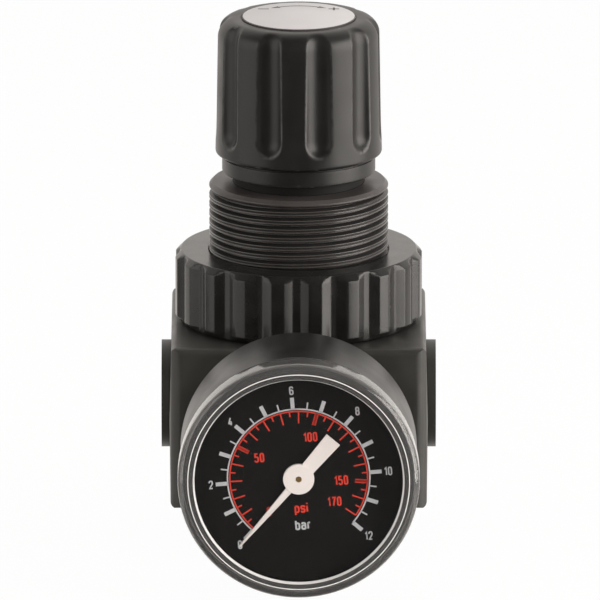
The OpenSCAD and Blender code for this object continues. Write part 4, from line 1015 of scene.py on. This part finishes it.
def make_knob(settings):
    """The fluted knob, hollow round the bonnet's neck, and its locking teeth."""
    knob = settings.knob
    bottom = lowest("knob", "z")
    top = highest("knob", "z")
    grip = radius_of("knob", "y")
    crown = grip - knob.draft
    rim = top - knob.rim_drop
    recess = radius_of("knob_label", "y") + knob.label_gap
    recess_floor = lowest("knob_label", "z")
    skirt_top = bottom + knob.skirt_height
    foot = skirt_top + knob.flare_height
    hub_low = top - knob.hub_depth
    flute_low = bottom + knob.flute_start
    flute_middle = grip + knob.flute_radius - knob.flute_depth
    spacing = FULL_TURN / knob.flutes

    def fluted(radius, height, turn):
        away = np.mod(turn + math.pi / 2 - knob.flute_turn + spacing / 2, spacing) - spacing / 2
        below = np.maximum(flute_low - height, 0)
        risen = np.clip(height - rim + knob.shoulder, 0, knob.shoulder)
        inset = knob.shoulder - np.sqrt(knob.shoulder ** 2 - risen ** 2)
        middle = flute_middle - knob.flute_lean * inset
        room = knob.flute_radius ** 2 - below ** 2 - (middle * np.sin(away)) ** 2
        cut = middle * np.cos(away) - np.sqrt(np.maximum(room, 0))
        cut = np.where(room > 0, cut, grip + knob.flute_radius)
        return smooth_min(radius, cut, knob.flute_edge)

    groove = knob.skirt_radius - knob.parting
    outside = rounded([
        (knob.bore_radius, bottom, SOFT), (knob.skirt_radius, bottom, WIDE),
        (knob.skirt_radius, skirt_top, HAIR), (groove, skirt_top), (groove, skirt_top + knob.parting),
        (knob.skirt_radius, skirt_top + knob.parting, HAIR), (grip, foot, knob.foot_round),
        (crown, rim, knob.shoulder), (recess, rim, HAIR), (recess, recess_floor),
        (knob.clip_pocket, recess_floor),
    ], steps=8)
    inside = [Vector(p) for p in (
        (knob.clip_pocket, hub_low + knob.hub_grip), (knob.hub_hole, hub_low + knob.hub_grip),
        (knob.hub_hole, hub_low), (knob.hub_radius, hub_low), (knob.hub_radius, top - knob.roof),
        (knob.bore_radius, top - knob.roof),
    )]
    plastic = finish(settings, "Knob plastic")
    mesh = lathe(finely(outside, KNOB_STEP) + inside, turns(KNOB_COLUMNS), fluted)
    piece("fluted_knob", mesh, plastic, "knob_body", ["knob"])
    bonnet = settings.bonnet
    teeth = lock_teeth(bonnet, bottom, 0.5, bonnet.neck_radius + TOOTH_GAP, knob.bore_radius + TOOTH_SINK,
                       TOOTH_TIP, TOOTH_SPREAD, plastic)
    piece("knob_teeth", teeth, plastic, "knob_body")


# Least cosine at a bend of a stroke, which keeps its corners short
MITRE = 0.6


def stroke_mesh(points, width, low, high, closed=False):
    """A flat raised stroke of print along a line of points."""
    count_of = len(points)
    corners, faces = [], []
    for i, here in enumerate(points):
        before = points[i - 1] if closed or i else None
        after = points[(i + 1) % count_of] if closed or i + 1 < count_of else None
        into = (here - before).normalized() if before else (after - here).normalized()
        out = (after - here).normalized() if after else into
        along = (into + out).normalized()
        reach = width / 2 / max(along.dot(into), MITRE)
        side = Vector((-along.y, along.x)) * reach
        for edge, level in ((here - side, low), (here + side, low), (here + side, high), (here - side, high)):
            corners.append((*edge, level))
    for i in range(count_of if closed else count_of - 1):
        a, b = 4 * i, 4 * ((i + 1) % count_of)
        faces += [(a + k, a + (k + 1) % 4, b + (k + 1) % 4, b + k) for k in range(4)]
    if not closed:
        faces += [(0, 1, 2, 3), tuple(4 * count_of - 4 + k for k in (3, 2, 1, 0))]
    return mesh_of(corners, faces)


def arc(radius, start, end, steps=96):
    """Points along part of a circle."""
    turns_to = [start + (end - start) * i / steps for i in range(steps + 1)]
    return [Vector((radius * math.cos(turn), radius * math.sin(turn))) for turn in turns_to]


def plate_mesh(corners, low, high):
    """A thin flat plate of print with straight edges."""
    n = len(corners)
    points = [(x, y, level) for level in (low, high) for x, y in corners]
    faces = [tuple(range(n)), tuple(range(n, 2 * n))]
    faces += [(i, (i + 1) % n, n + (i + 1) % n, n + i) for i in range(n)]
    return mesh_of(points, faces)


def make_label(settings):
    """The pale disc on the knob, with a turning arrow and its two signs."""
    top = highest("knob_label", "z") - settings.knob.label_drop
    bottom = lowest("knob_label", "z")
    radius = radius_of("knob_label", "y")
    bevel = settings.knob.label_bevel
    edge = [(radius, bottom), (radius, top - bevel / 2), (radius - bevel, top)]
    disc = lathe(rounded([(0, bottom), *edge, (0, top)]), turns(LABEL_COLUMNS))
    ink = finish(settings, "Label print")
    piece("label_disc", disc, finish(settings, "Label card"), "knob_body", ["knob_label"])
    # The bevelled edge takes the print's dark colour: painted shade of the gap round the disc
    disc.materials.append(ink)
    for face in disc.polygons:
        if math.hypot(face.center.x, face.center.y) > radius - bevel:
            face.material_index = 1
    low, high = top - PRINT_SINK, top + PRINT_RISE
    arrow, line = 7.0 * MM, 0.28 * MM
    head_half, head_length = 0.5 * MM, 1.5 * MM
    start, end = math.radians(62), math.radians(118)
    marks = [stroke_mesh(arc(arrow, start, end), line, low, high)]
    for turn, way in ((start, -1), (end, 1)):
        head = [(arrow - head_half, 0), (arrow + head_half, 0), (arrow, way * head_length)]
        mark = plate_mesh(head[::way], low, high)
        mark.transform(Matrix.Rotation(turn, 4, "Z"))
        marks.append(mark)
    stroke, bar = 0.9 * MM, 0.16 * MM
    sign_x, sign_y = 5.9 * MM, 4.9 * MM
    for side, across, up in ((-1, stroke, bar), (1, stroke, bar), (1, bar, stroke)):
        corners = [(side * sign_x + x * across, sign_y + y * up) for x, y in SQUARE]
        marks.append(plate_mesh(corners, low, high))
    piece("label_print", joined(marks), ink, "knob_body")


# The gauge

# Gap between the case and the edge of the window's skirt
SKIRT_GAP = 0.1 * MM


def make_case(settings):
    """The gauge's case with its screws, and the stem that carries it."""
    gauge = settings.gauge
    back = -highest("gauge_case", "y")
    front = -lowest("gauge_case", "y")
    outer = radius_of("gauge_case", "z", GAUGE_Z)
    bore = outer - gauge.wall
    dial_back = -highest("gauge_dial", "y")
    skirt = -highest("gauge_window", "y")
    nose = outer - gauge.nose_step
    ledge = bore - gauge.ledge
    outline = rounded([
        (gauge.stem_hole, back), (outer, back, gauge.rear_round), (outer, skirt - SKIRT_GAP, SMALL),
        (nose, skirt - SKIRT_GAP), (nose, front, FINE), (bore, front, FINE), (bore, dial_back),
        (ledge, dial_back, FINE), (ledge, dial_back - gauge.wall, FINE),
        (bore, dial_back - gauge.wall - gauge.ledge), (bore, back + gauge.wall, gauge.rear_round / 2),
        (gauge.stem_hole, back + gauge.wall),
    ], steps=8)
    shell = lathe(outline, turns(COLUMNS))
    shell.transform(gauge_frame(settings))
    piece("gauge_shell", shell, finish(settings, "Gauge lacquer"), "housing", ["gauge_case"])
    eased_copy("rear_screws", "case_screws", finish(settings, "Plated steel"), "housing", SCREW_EDGE)
    eased_copy("gauge_socket", "gauge_stem", finish(settings, "Turned brass"), "housing", BRASS_EDGE)


# Strokes of the figures: corners in half widths across and in heights up, each with its fillet in half widths
LOOP, OPEN = True, False
FIGURES = {
    "0": [(LOOP, [(-1, 0, 0.95), (1, 0, 0.95), (1, 1, 0.95), (-1, 1, 0.95)])],
    "1": [(OPEN, [(-0.7, 0.76), (0.3, 1), (0.3, 0)])],
    "2": [(OPEN, [(-1, 0.74), (-1, 1, 0.95), (1, 1, 0.95), (1, 0.6, 0.9), (-1, 0), (1, 0)])],
    "4": [(OPEN, [(0.1, 1), (-1.1, 0.25), (1.1, 0.25)]), (OPEN, [(0.4, 0.55), (0.4, 0)])],
    "5": [(OPEN, [(0.9, 1), (-0.9, 1), (-0.9, 0.6), (1, 0.6, 0.95), (1, 0, 0.95), (-1, 0, 0.95), (-1, 0.2)])],
    "6": [(OPEN, [(1, 0.8), (1, 1, 0.95), (-1, 1, 0.95), (-1, 0, 0.95), (1, 0, 0.95), (1, 0.58, 0.95),
                  (-1, 0.58)])],
    "7": [(OPEN, [(-1, 1), (1, 1), (-0.3, 0)])],
    "8": [(LOOP, [(-0.9, 0.54, 0.85), (0.9, 0.54, 0.85), (0.9, 1, 0.85), (-0.9, 1, 0.85)]),
          (LOOP, [(-1, 0, 0.95), (1, 0, 0.95), (1, 0.54, 0.95), (-1, 0.54, 0.95)])],
    "a": [(OPEN, [(-0.9, 0.57), (-0.9, 0.7, 0.5), (1, 0.7, 0.9), (1, 0)]),
          (OPEN, [(1, 0.42), (-1, 0.42, 0.7), (-1, 0, 0.7), (1, 0)])],
    "b": [(OPEN, [(-1, 0), (-1, 1)]), (OPEN, [(-1, 0.7), (1, 0.7, 0.95), (1, 0, 0.95), (-1, 0)])],
    "i": [(OPEN, [(0, 0), (0, 0.7)]), (OPEN, [(0, 0.88), (0, 1.04)])],
    "p": [(OPEN, [(-1, -0.3), (-1, 0.7)]), (OPEN, [(-1, 0.7), (1, 0.7, 0.95), (1, 0, 0.95), (-1, 0)])],
    "r": [(OPEN, [(-0.6, 0), (-0.6, 0.7)]), (OPEN, [(-0.6, 0.45), (-0.6, 0.7, 0.7), (0.7, 0.7)])],
    "s": [(OPEN, [(0.95, 0.54), (0.95, 0.7, 0.6), (-0.95, 0.7, 0.6), (-0.95, 0.36, 0.6), (0.95, 0.34, 0.6),
                  (0.95, 0, 0.6), (-0.95, 0, 0.6), (-0.95, 0.16)])],
}


# Gap between two figures, in strokes
FIGURE_GAP = 0.55


def lettering(text, height, width, stroke, ink):
    """Flat raised figures of a height, width and stroke, centred on their own middle."""
    tall, half, gap = height - stroke, (width - stroke) / 2, FIGURE_GAP * stroke
    made, start = [], 0.0
    for figure in text:
        paths = FIGURES[figure]
        across = [corner[0] * half for _, corners in paths for corner in corners]
        shift = start - min(across)
        for closed, corners in paths:
            scaled = [(x * half + shift, y * tall, *(f * half for f in fillet)) for x, y, *fillet in corners]
            made.append(stroke_mesh(rounded(scaled), stroke, -ink / 2, ink / 2, closed))
        start += max(across) - min(across) + stroke + gap
    mesh = joined(made)
    corners = [v.co for v in mesh.vertices]
    middle = [(min(c[k] for c in corners) + max(c[k] for c in corners)) / 2 for k in (0, 1)]
    mesh.transform(Matrix.Translation((-middle[0], -middle[1], 0)))
    return mesh


def scale_marks(dial, material, each, inner, outer, width, first, step, number_of):
    """A row of like marks along a scale, each a step of so many units."""
    return grown(ring_of_blocks(), {
        "Count": number_of, "Inner radius": inner, "Outer radius": outer, "Width": width,
        "Tip share": 1.0, "Height": dial.ink, "Start": dial.zero - first * each, "Step": -step * each,
        "Material": material,
    })


def figures_round(dial, values, each, edge, gap, height, width, stroke):
    """Upright numbers along a scale, a gap outside an edge, or inside it where the gap is negative."""
    made = []
    for value in values:
        turn = dial.zero - value * each
        mesh = lettering(str(value), height, width, stroke, dial.ink)
        half = [max(v.co[k] for v in mesh.vertices) for k in (0, 1)]
        # Outer numbers keep their gap from the box round them, and inner ones from a rounder shape
        spread = (abs(half[0] * math.cos(turn)), abs(half[1] * math.sin(turn)))
        reach = sum(spread) if gap > 0 else math.hypot(*spread)
        radius = edge + gap + math.copysign(reach, gap)
        mesh.transform(Matrix.Translation((radius * math.cos(turn), radius * math.sin(turn), 0)))
        made.append(mesh)
    return made


def unit_word(dial, text, drop):
    """The name of a unit below the pointer's axis."""
    mesh = lettering(text, dial.unit_height, dial.unit_width, dial.unit_stroke, dial.ink)
    mesh.transform(Matrix.Translation((0, -drop, 0)))
    return mesh


# Units of the inner scale from one mark to the next, and from one number to the next
PSI_MARK = 10
PSI_NUMBER = 50


def make_dial(settings):
    """The dial's two scales, printed on the solid's own face."""
    dial = settings.dial
    coat_solid("gauge_dial", finish(settings, "Dial black"))
    face = Matrix.Translation((0, 0, -lowest("gauge_dial", "y") + dial.ink / 2))
    low, high = -dial.ink / 2, dial.ink / 2

    white = finish(settings, "White print")
    bar_end = dial.zero - dial.bars * dial.per_bar
    outer_scale = [
        stroke_mesh(arc(dial.outer_arc, dial.zero, bar_end), dial.arc_width, low, high),
        scale_marks(dial, white, dial.per_bar, dial.outer_arc, dial.bar_tick, dial.wide_mark,
                    0, 1, dial.bars + 1),
        scale_marks(dial, white, dial.per_bar, dial.outer_arc, dial.half_tick, dial.thin_mark,
                    0.5, 1, dial.bars),
        unit_word(dial, "bar", dial.bar_drop),
    ]
    numbers = range(0, dial.bars + 1, dial.bar_number_step)
    outer_scale += figures_round(dial, numbers, dial.per_bar, dial.bar_tick, dial.outer_gap,
                                 dial.outer_height, dial.outer_width, dial.outer_stroke)

    red = finish(settings, "Red print")
    psi_end = dial.zero - dial.psi * dial.per_psi
    inner_scale = [
        stroke_mesh(arc(dial.inner_arc, dial.zero, psi_end), dial.arc_width, low, high),
        scale_marks(dial, red, dial.per_psi, dial.ten_tick, dial.inner_arc, dial.thin_mark,
                    0, PSI_MARK, dial.psi // PSI_MARK + 1),
        scale_marks(dial, red, dial.per_psi, dial.five_tick, dial.inner_arc, dial.thin_mark,
                    PSI_MARK / 2, PSI_MARK, dial.psi // PSI_MARK),
        scale_marks(dial, red, dial.per_psi, dial.ten_tick, dial.inner_arc, dial.wide_mark,
                    PSI_NUMBER, PSI_NUMBER, dial.psi // PSI_NUMBER),
        unit_word(dial, "psi", dial.psi_drop),
    ]
    numbers = [*range(0, dial.psi, PSI_NUMBER), dial.psi]
    inner_scale += figures_round(dial, numbers, dial.per_psi, dial.ten_tick, -dial.inner_gap,
                                 dial.inner_height, dial.inner_width, dial.inner_stroke)

    for name, marks, ink in (("outer_scale", outer_scale, white), ("inner_scale", inner_scale, red)):
        mesh = joined(marks)
        mesh.transform(gauge_frame(settings) @ face)
        piece(name, mesh, ink, "housing")


def make_pointer(settings):
    """The pointer, with its edges broken."""
    paint = finish(settings, "Pointer cream")
    eased_copy("needle", "pointer", paint, "pointer_body", POINTER_EDGE, segments=2)


# Looks of the window's faces, in the order of its materials
CLEAR, HAZY, HIGHLIGHT_RINGS = range(3)


def make_window(settings):
    """The clear window that snaps over the case, with its raised rim."""
    gauge = settings.gauge
    outer = radius_of("gauge_window", "z", GAUGE_Z)
    skirt = -highest("gauge_window", "y")
    rim = -lowest("gauge_window", "y")
    pane_front = rim - gauge.rim_height
    pane_back = pane_front - gauge.pane
    bore = outer - gauge.skirt_wall
    clear = outer - gauge.rim_width
    line = clear + gauge.front_line
    half_line = gauge.edge_line / 2
    outline = rounded([
        (0, pane_back), (bore, pane_back, FINE), (bore, skirt), (outer, skirt, WIDE),
        (outer, rim, gauge.rim_height + gauge.pane / 2), (line + half_line, rim), (line - half_line, rim),
        (clear + gauge.rim_slope, rim, FINE), (clear, pane_front, PANE_EDGE), (0, pane_front),
    ], steps=12)
    mesh = lathe(outline, turns(COLUMNS))
    looks = []
    # Frosted rings on the rim's front are painted highlight lines
    for face in mesh.polygons:
        reach = math.hypot(face.center.x, face.center.y)
        on_front = face.center.z > pane_front
        on_line = abs(reach - line) < half_line or abs(reach - outer + gauge.outer_line) < half_line
        on_slope = clear < reach < clear + gauge.rim_slope
        highlighted = on_front and (on_line or on_slope)
        looks.append(HIGHLIGHT_RINGS if highlighted else HAZY if reach > clear else CLEAR)
    mesh.transform(gauge_frame(settings))
    thing = piece("clear_window", mesh, clear_finish(), "housing", ["gauge_window"])
    mesh.materials.append(finish(settings, "Hazy acrylic"))
    mesh.materials.append(finish(settings, "Frosted acrylic"))
    for face, look in zip(thing.data.polygons, looks):
        face.material_index = look


# The pieces inside

INNER_FINISHES = {
    "Plated steel": [
        "retaining_clip", "diaphragm_plate", "plate_nut", "movement_screws", "link_rod", "hairspring",
    ],
    "Turned brass": [
        "adjusting_screw", "spring_nut", "relief_seat", "valve_stem", "pinion_shaft", "sector_gear",
        "movement_back_plate", "movement_front_plate", "movement_pillars", "bourdon_tube", "tube_tip",
    ],
    "Seal rubber": ["valve_seal", "stem_oring", "bottom_cap_oring", "rear_plug_seal", "gauge_seal"],
    "Moulded plastic": ["thrust_washer"],
}
# Springs and diaphragm, copied but not pressed: finish, slot, the body that carries the foot, the joint that
# presses, and its travel
PRESSED = {
    "range_spring": ("Plated steel", "steel", "diaphragm_stack", "nut_travel", 7.5 * MM),
    "valve_spring": ("Plated steel", "steel", "housing", "poppet_stroke", 1.2 * MM),
    "diaphragm": ("Seal rubber", "rubber", "housing", "valve_stroke", 1.2 * MM),
}


def coat_solid(node, material):
    """Gives a finish to a solid that keeps its own shape."""
    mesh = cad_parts[node].data
    mesh.materials.clear()
    mesh.materials.append(material)


def make_inner(settings):
    """Finishes for the solids that stay as they are, and plain copies of the springs and the diaphragm on the
    bodies that carry their feet.
    """
    for name, nodes in INNER_FINISHES.items():
        for node in nodes:
            coat_solid(node, finish(settings, name))
    for node, (name, slot, foot, joint, travel) in PRESSED.items():
        thing = piece("pressed_" + node, solid_copy(node), finish(settings, name), foot, [node])
        low, high = lowest(node, "z"), highest(node, "z")
        1 - travel / (high - low)
        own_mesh(thing)


# The stage

# Warm white of the lamps and of what is mirrored
LAMP_TINT = (1.0, 0.95, 0.9)
# Soft lamps: place, width, height, the setting of their power, and whether they are mirrored
LAMPS = {
    "right_lamp": ((0.57, -0.18, 0.1), 0.62, 0.6, "right_power", True),
    "left_lamp": ((-0.555, -0.22, 0.1), 0.56, 0.6, "left_power", True),
    "top_lamp": ((0.0, 0.12, 0.7), 0.35, 0.3, "top_power", False),
    "front_lamp": ((0.0, -0.7, 0.25), 0.6, 0.6, "front_power", False),
}
# The narrow lamp: its place, and how far from the gauge's axis it lights
DIAL_LAMP = (0.0, -0.5, 0.0)
DIAL_LAMP_REACH = 0.024
FLOOR_HALF = 4.0
# What is mirrored from the front: its brightness, and the two ends of its change to the backdrop, along Y
FRONT_GLOW = 0.05
FRONT_END = -0.1
BACKDROP_START = 0.7


def put_up(light, place, target, mirrored):
    """Puts a lamp in its place, facing a target."""
    light.color = LAMP_TINT
    thing = bpy.data.objects.new(light.name, light)
    thing.location = place
    thing.rotation_euler = (Vector(target) - Vector(place)).to_track_quat("-Z", "Y").to_euler()
    thing.visible_glossy = mirrored
    thing.visible_transmission = mirrored
    bpy.context.scene.collection.objects.link(thing)


def make_lamps(stage):
    """Soft lamps round the object, and a narrow one on the dial."""
    for name, (place, width, height, setting, mirrored) in LAMPS.items():
        light = bpy.data.lights.new(name, "AREA")
        light.shape = "RECTANGLE"
        light.size = width
        light.size_y = height
        light.energy = getattr(stage, setting)
        put_up(light, place, (0, 0, stage.aim_z), mirrored)
    target = Vector((0, lowest("gauge_window", "y"), GAUGE_Z))
    spot = bpy.data.lights.new("dial_lamp", "SPOT")
    spot.spot_size = 2 * math.atan(DIAL_LAMP_REACH / (target - Vector(DIAL_LAMP)).length)
    spot.spot_blend = 0.3
    spot.shadow_soft_size = 0.02
    spot.energy = stage.dial_power
    put_up(spot, DIAL_LAMP, target, False)


def make_camera(stage):
    """A long camera, level across, at the photograph's angle."""
    camera = bpy.data.cameras.new("camera")
    camera.sensor_width = 36.0
    camera.lens = camera.sensor_width * stage.distance / stage.width
    camera.clip_end = 20.0
    thing = bpy.data.objects.new("camera", camera)
    aim = Vector((stage.aim_x, 0, stage.aim_z))
    back = Vector((0, -math.cos(stage.elevation), math.sin(stage.elevation)))
    thing.location = aim + back * stage.distance
    thing.rotation_euler = (-back).to_track_quat("-Z", "Y").to_euler()
    bpy.context.scene.collection.objects.link(thing)
    bpy.context.scene.camera = thing


def make_floor(stage):
    """A pale floor that is white to the camera and keeps a soft shadow."""
    material, tree, matt = new_material("floor")
    feed(tree, matt, {"Base Color": (*stage.floor, 1), "Roughness": 0.9, "Specular IOR Level": 0.0})
    glow = add(tree, "ShaderNodeEmission", {"Color": (1, 1, 1, 1), "Strength": 1.0})
    seen = Value(tree, add(tree, "ShaderNodeLightPath").outputs["Is Camera Ray"])
    looks = {0: seen * stage.floor_glow, 1: matt.outputs[0], 2: glow.outputs[0]}
    both = add(tree, "ShaderNodeMixShader", looks)
    tree.links.new(both.outputs[0], tree.nodes["Material Output"].inputs["Surface"])
    mesh = bpy.data.meshes.new("floor")
    mesh.from_pydata([(x * FLOOR_HALF, y * FLOOR_HALF, FLOOR_Z) for x, y in SQUARE], [], [(0, 1, 2, 3)])
    mesh.materials.append(material)
    thing = bpy.data.objects.new("floor", mesh)
    thing.visible_glossy = False
    thing.visible_transmission = False
    bpy.context.scene.collection.objects.link(thing)


def make_world(stage):
    """White to the camera, dimmer in front for reflections, and an even low light for the rest."""
    world = bpy.data.worlds.new("studio")
    world.use_nodes = True
    tree = world.node_tree
    tree.nodes.clear()
    way = add(tree, "ShaderNodeSeparateXYZ", {0: add(tree, "ShaderNodeTexCoord").outputs["Generated"]})
    studio = Value(tree, way.outputs["Y"]).remap(FRONT_END, BACKDROP_START, FRONT_GLOW, stage.backdrop)
    path = add(tree, "ShaderNodeLightPath").outputs
    shown = stage.ambient
    rays = {"Is Glossy Ray": studio, "Is Transmission Ray": stage.through, "Is Camera Ray": 1.0}
    for ray, light in rays.items():
        mix = {"Factor": path[ray], "A": shown, "B": light}
        shown = add(tree, "ShaderNodeMix", mix, data_type="FLOAT").outputs["Result"]
    tints = {"Factor": path["Is Camera Ray"], "A": (*LAMP_TINT, 1), "B": (1, 1, 1, 1)}
    tint = add(tree, "ShaderNodeMix", tints, data_type="RGBA").outputs["Result"]
    sky = add(tree, "ShaderNodeBackground", {"Color": tint, "Strength": shown})
    output = add(tree, "ShaderNodeOutputWorld", {"Surface": sky.outputs[0]})
    output.is_active_output = True
    bpy.context.scene.world = world


def make_stage(settings):
    """Camera, floor, background and lamps."""
    stage = settings.stage
    make_camera(stage)
    make_floor(stage)
    make_world(stage)
    make_lamps(stage)
    bpy.context.scene.view_settings.view_transform = "Standard"


# Operators and panel

class PieceOperator:
    """Makes pieces from the scene's settings."""

    def execute(self, context):
        self.build(context.scene.regulator)
        return {"FINISHED"}


class REGULATOR_OT_body(PieceOperator, bpy.types.Operator):
    """Make the cast body, its port threads, the bottom plug and the rear plug"""
    bl_idname = "regulator.body"
    bl_label = "Body"
    build = staticmethod(make_body)


class REGULATOR_OT_clamp_ring(PieceOperator, bpy.types.Operator):
    """Make the ribbed clamp ring"""
    bl_idname = "regulator.clamp_ring"
    bl_label = "Clamp ring"
    build = staticmethod(make_clamp_ring)


class REGULATOR_OT_bonnet(PieceOperator, bpy.types.Operator):
    """Make the bonnet with its panel thread and locking teeth"""
    bl_idname = "regulator.bonnet"
    bl_label = "Bonnet"
    build = staticmethod(make_bonnet)


class REGULATOR_OT_knob(PieceOperator, bpy.types.Operator):
    """Make the fluted knob and its locking teeth"""
    bl_idname = "regulator.knob"
    bl_label = "Knob"
    build = staticmethod(make_knob)


class REGULATOR_OT_label(PieceOperator, bpy.types.Operator):
    """Make the label disc and its print"""
    bl_idname = "regulator.label"
    bl_label = "Label"
    build = staticmethod(make_label)


class REGULATOR_OT_gauge_case(PieceOperator, bpy.types.Operator):
    """Make the gauge's case, screws and stem"""
    bl_idname = "regulator.gauge_case"
    bl_label = "Gauge case"
    build = staticmethod(make_case)


class REGULATOR_OT_dial(PieceOperator, bpy.types.Operator):
    """Print the gauge's two scales"""
    bl_idname = "regulator.dial"
    bl_label = "Dial"
    build = staticmethod(make_dial)


class REGULATOR_OT_pointer(PieceOperator, bpy.types.Operator):
    """Make the gauge's pointer"""
    bl_idname = "regulator.pointer"
    bl_label = "Pointer"
    build = staticmethod(make_pointer)


class REGULATOR_OT_window(PieceOperator, bpy.types.Operator):
    """Make the gauge's clear window"""
    bl_idname = "regulator.window"
    bl_label = "Gauge window"
    build = staticmethod(make_window)


class REGULATOR_OT_inner(PieceOperator, bpy.types.Operator):
    """Finish the pieces inside the valve and the gauge"""
    bl_idname = "regulator.inner"
    bl_label = "Inner pieces"
    build = staticmethod(make_inner)


class REGULATOR_OT_stage(PieceOperator, bpy.types.Operator):
    """Set up the camera, floor, lamps and background"""
    bl_idname = "regulator.stage"
    bl_label = "Stage"
    build = staticmethod(make_stage)


OPERATORS = (
    REGULATOR_OT_body, REGULATOR_OT_clamp_ring, REGULATOR_OT_bonnet, REGULATOR_OT_knob, REGULATOR_OT_label,
    REGULATOR_OT_gauge_case, REGULATOR_OT_dial, REGULATOR_OT_pointer, REGULATOR_OT_window,
    REGULATOR_OT_inner, REGULATOR_OT_stage,
)


class REGULATOR_PT_panel(bpy.types.Panel):
    """Settings and steps of the regulator"""
    bl_idname = "REGULATOR_PT_panel"
    bl_label = "Pressure regulator"
    bl_space_type = "VIEW_3D"
    bl_region_type = "UI"
    bl_category = "Regulator"

    def draw(self, context):
        for operator in OPERATORS:
            self.layout.operator(operator.bl_idname)
        settings = context.scene.regulator
        for group in settings.bl_rna.properties:
            if group.type == "POINTER" and group.identifier != "rna_type":
                box = self.layout.box()
                box.label(text=group.name)
                values = getattr(settings, group.identifier)
                for value in values.bl_rna.properties:
                    if value.identifier not in ("rna_type", "name"):
                        box.prop(values, value.identifier)


CLASSES = (
    KnobSettings, RingSettings, BonnetSettings, PortSettings, GaugeSettings, DialSettings, FinishSettings,
    StageSettings, RegulatorSettings, *OPERATORS, REGULATOR_PT_panel,
)


def register():
    """Adds the classes and the scene's settings."""
    for cls in CLASSES:
        bpy.utils.register_class(cls)
    bpy.types.Scene.regulator = PointerProperty(type=RegulatorSettings)


def unregister():
    """Takes the settings and the classes away again."""
    del bpy.types.Scene.regulator
    for cls in reversed(CLASSES):
        bpy.utils.unregister_class(cls)


def main():
    """Builds every piece and the stage."""
    register()
    for operator in OPERATORS:
        group, name = operator.bl_idname.split(".")
        getattr(getattr(bpy.ops, group), name)()


if __name__ == "__main__":
    main()
